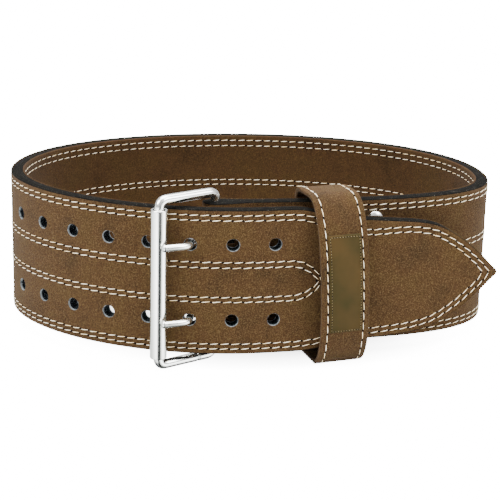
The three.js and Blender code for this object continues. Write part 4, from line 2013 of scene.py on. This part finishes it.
@dataclass
class Studio:
    """The plain pale floor, the soft light and the camera.

    The camera's place is in the belt's upright frame, in millimetres.
    """

    stand: BeltFrame
    camera_spot: tuple[float, float, float] = (0.0, -936.0, 358.0)
    camera_pitch: float = 16.85
    camera_roll: float = 1.5
    focal_pixels: float = 1473.0
    picture_pixels: float = 500.0
    sensor_width: float = 36.0

    # Half the floor's side, its patches in millimetres, and the ellipse within the loop, in
    # metres. The floor's glow is the first value inside the ellipse and the second outside; the
    # dim ellipse is a painted shadow under the loop.
    FLOOR_HALF = 12.0
    FLOOR_PATCH = 400.0
    PAINTED_SHADOW_HALVES = (0.15, 0.105)
    PAINTED_SHADOW_FADES = (0.7, 1.1)
    FLOOR_GLOWS = (0.3, 14.0)
    # How bright the surroundings are above and below the floor's level, and the rise
    # within which one passes into the other
    WORLD_GLOWS = (1.35, 8.0)
    HORIZON = (0.04, -0.04)
    # Straight down the surroundings darken: the directions' heights, and the shares left
    STEEP = (-0.75, -0.35)
    STEEP_SHARES = (0.04, 1.0)
    SKY = ((0.0, "#8c8c8e"), (0.25, "#c8c8ca"), (0.6, "#dededf"))
    # Round the belt below the floor's level, in shares of a turn; 0.5 is the camera's side
    SWEEP = (
        (0.0, "#8a8c8c"),
        (0.25, "#8e9190"),
        (0.36, "#c9cccb"),
        (0.44, "#ffffff"),
        (0.465, "#d5d8d7"),
        (0.495, "#0c0e0e"),
        (0.59, "#0c0e0e"),
        (0.65, "#c9ccc9"),
        (0.71, "#ffffff"),
        (0.82, "#8a8c8c"),
    )
    # Each lamp's name, place and size in metres, and power in watts
    LAMPS = (
        ("key_light", (-1.5, -0.75, 1.5), 1.2, 84.0),
        ("fill_light", (1.6, -0.8, 1.5), 1.2, 68.0),
        ("top_light", (0.0, 0.3, 1.9), 1.8, 135.0),
    )

    def floor(self) -> None:
        """A pale, matte floor that glows to the camera alone, with a painted shadow within the
        loop.
        """
        corners = [(x * self.FLOOR_HALF, y * self.FLOOR_HALF, 0) for x, y in SQUARE]
        mesh = bpy.data.meshes.new("studio_floor")
        mesh.from_pydata(corners, [], [(0, 1, 2, 3)])
        material, tree = new_material("pale_floor")
        colour = add_ramp(tree, grain(tree, self.FLOOR_PATCH), ((0.3, "#eeeeec"), (0.7, "#f4f4f3")))
        seen = add_node(tree, "ShaderNodeLightPath").outputs["Is Camera Ray"]
        where = add_node(tree, "ShaderNodeTexCoord").outputs["Object"]
        loop = {"Scale": (*(1 / half for half in self.PAINTED_SHADOW_HALVES), 1.0)}
        scaled = add_node(tree, "ShaderNodeMapping", loop, {"Vector": where}).outputs[0]
        away = add_node(tree, "ShaderNodeVectorMath", links={0: scaled}, operation="LENGTH")
        # Within the loop's ellipse the glow drops: a painted shadow on the floor
        level = map_range(tree, away.outputs["Value"], self.PAINTED_SHADOW_FADES, self.FLOOR_GLOWS)
        glow = computed(tree, "MULTIPLY", seen, level)
        matte = {"Roughness": 0.9, "Specular IOR Level": 0.1}
        values = matte | {"Emission Color": (1.0, 1.0, 1.0, 1.0)}
        finish_shader(tree, values, {"Base Color": colour, "Emission Strength": glow})
        mesh.materials.append(material)
        piece = bpy.data.objects.new("studio_floor", mesh)
        piece.visible_glossy = False
        bpy.context.scene.collection.objects.link(piece)

    def lamp(self, name: str, spot: Sequence[float], size: float, power: float) -> None:
        """A square soft box that faces the belt.

        Args:
            name: the lamp's name.
            spot: its place in metres.
            size: its side in metres.
            power: its power in watts.
        """
        light = bpy.data.lights.new(name, "AREA")
        light.size = size
        light.energy = power
        lamp = bpy.data.objects.new(name, light)
        lamp.location = spot
        lamp.rotation_euler = self._facing(-(np.array(spot) - (0, 0, 0.05)))
        bpy.context.scene.collection.objects.link(lamp)

    @staticmethod
    def _facing(way: Array) -> tuple[float, float, float]:
        """The turn that points an object's -Z along way, with no roll."""
        flat = math.hypot(way[0], way[1])
        return math.atan2(flat, -way[2]), 0.0, math.atan2(way[1], way[0]) - math.pi / 2

    def world(self) -> None:
        """Soft white surroundings, which light the belt and show in its metal.

        Above the floor they are grey-white. Below it, where only the metal looks, they are
        a white sweep with one dark gap to the right of the camera, as between two softboxes,
        and they darken straight down.
        """
        world = bpy.data.worlds.new("studio_surroundings")
        world.use_nodes = True
        tree = world.node_tree
        tree.nodes.clear()
        where = add_node(tree, "ShaderNodeTexCoord").outputs["Generated"]
        parts = add_node(tree, "ShaderNodeSeparateXYZ", links={0: where})
        x, y, z = parts.outputs
        sky = add_ramp(tree, z, self.SKY)
        nearer = add_node(tree, "ShaderNodeMath", {1: -1.0}, {0: y}, operation="MULTIPLY")
        turn = computed(tree, "ARCTAN2", x, nearer.outputs[0])
        sweep = add_ramp(tree, map_range(tree, turn, (-math.pi, math.pi)), self.SWEEP)
        both = mixed(tree, sky, sweep, map_range(tree, z, self.HORIZON))
        level = map_range(tree, z, self.HORIZON, self.WORLD_GLOWS)
        shade = map_range(tree, z, self.STEEP, self.STEEP_SHARES)
        strength = computed(tree, "MULTIPLY", level, shade)
        glow = add_node(tree, "ShaderNodeBackground", links={"Color": both, "Strength": strength})
        add_node(tree, "ShaderNodeOutputWorld", links={"Surface": glow.outputs[0]})
        bpy.context.scene.world = world

    def camera(self) -> None:
        """The camera at the photograph's place, turned with the leaning belt."""
        data = bpy.data.cameras.new("camera")
        data.sensor_fit = "HORIZONTAL"
        data.sensor_width = self.sensor_width
        data.lens = self.sensor_width * self.focal_pixels / self.picture_pixels
        data.clip_start = 0.01
        camera = bpy.data.objects.new("camera", data)
        pitch = math.radians(self.camera_pitch) + self.stand.lean
        roll = math.radians(self.camera_roll)
        ahead = np.array([0.0, math.cos(pitch), -math.sin(pitch)])
        right = np.array([1.0, 0.0, 0.0])
        x = right * math.cos(roll) + np.cross(right, ahead) * math.sin(roll)
        matrix = np.eye(4)
        matrix[:3, :3] = np.stack([x, np.cross(-ahead, x), -ahead], 1)
        matrix[:3, 3] = self.stand.place(np.array(self.camera_spot))
        camera.matrix_world = matrix.T.tolist()
        bpy.context.scene.collection.objects.link(camera)
        bpy.context.scene.camera = camera

    def build(self) -> None:
        """Sets up everything that isn't the belt."""
        self.floor()
        self.world()
        for lamp in self.LAMPS:
            self.lamp(*lamp)
        self.camera()


def main() -> None:
    """Builds the belt piece by piece, then the studio."""
    logging.basicConfig(level=logging.INFO, format="%(name)s: %(message)s")
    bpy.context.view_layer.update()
    sizes = BeltSizes()
    route = StrapRoute(sizes)
    stand = BeltFrame(route)
    shop = Workshop(stand.place)
    finishes = Finishes()
    Strap(route, finishes, Outline(sizes)).build(shop)
    Buckle(route, finishes).build(shop)
    Rivets(route, finishes).build(shop)
    Keeper(route, finishes, stand).build(shop)
    Studio(stand).build()


if __name__ == "__main__":
    main()
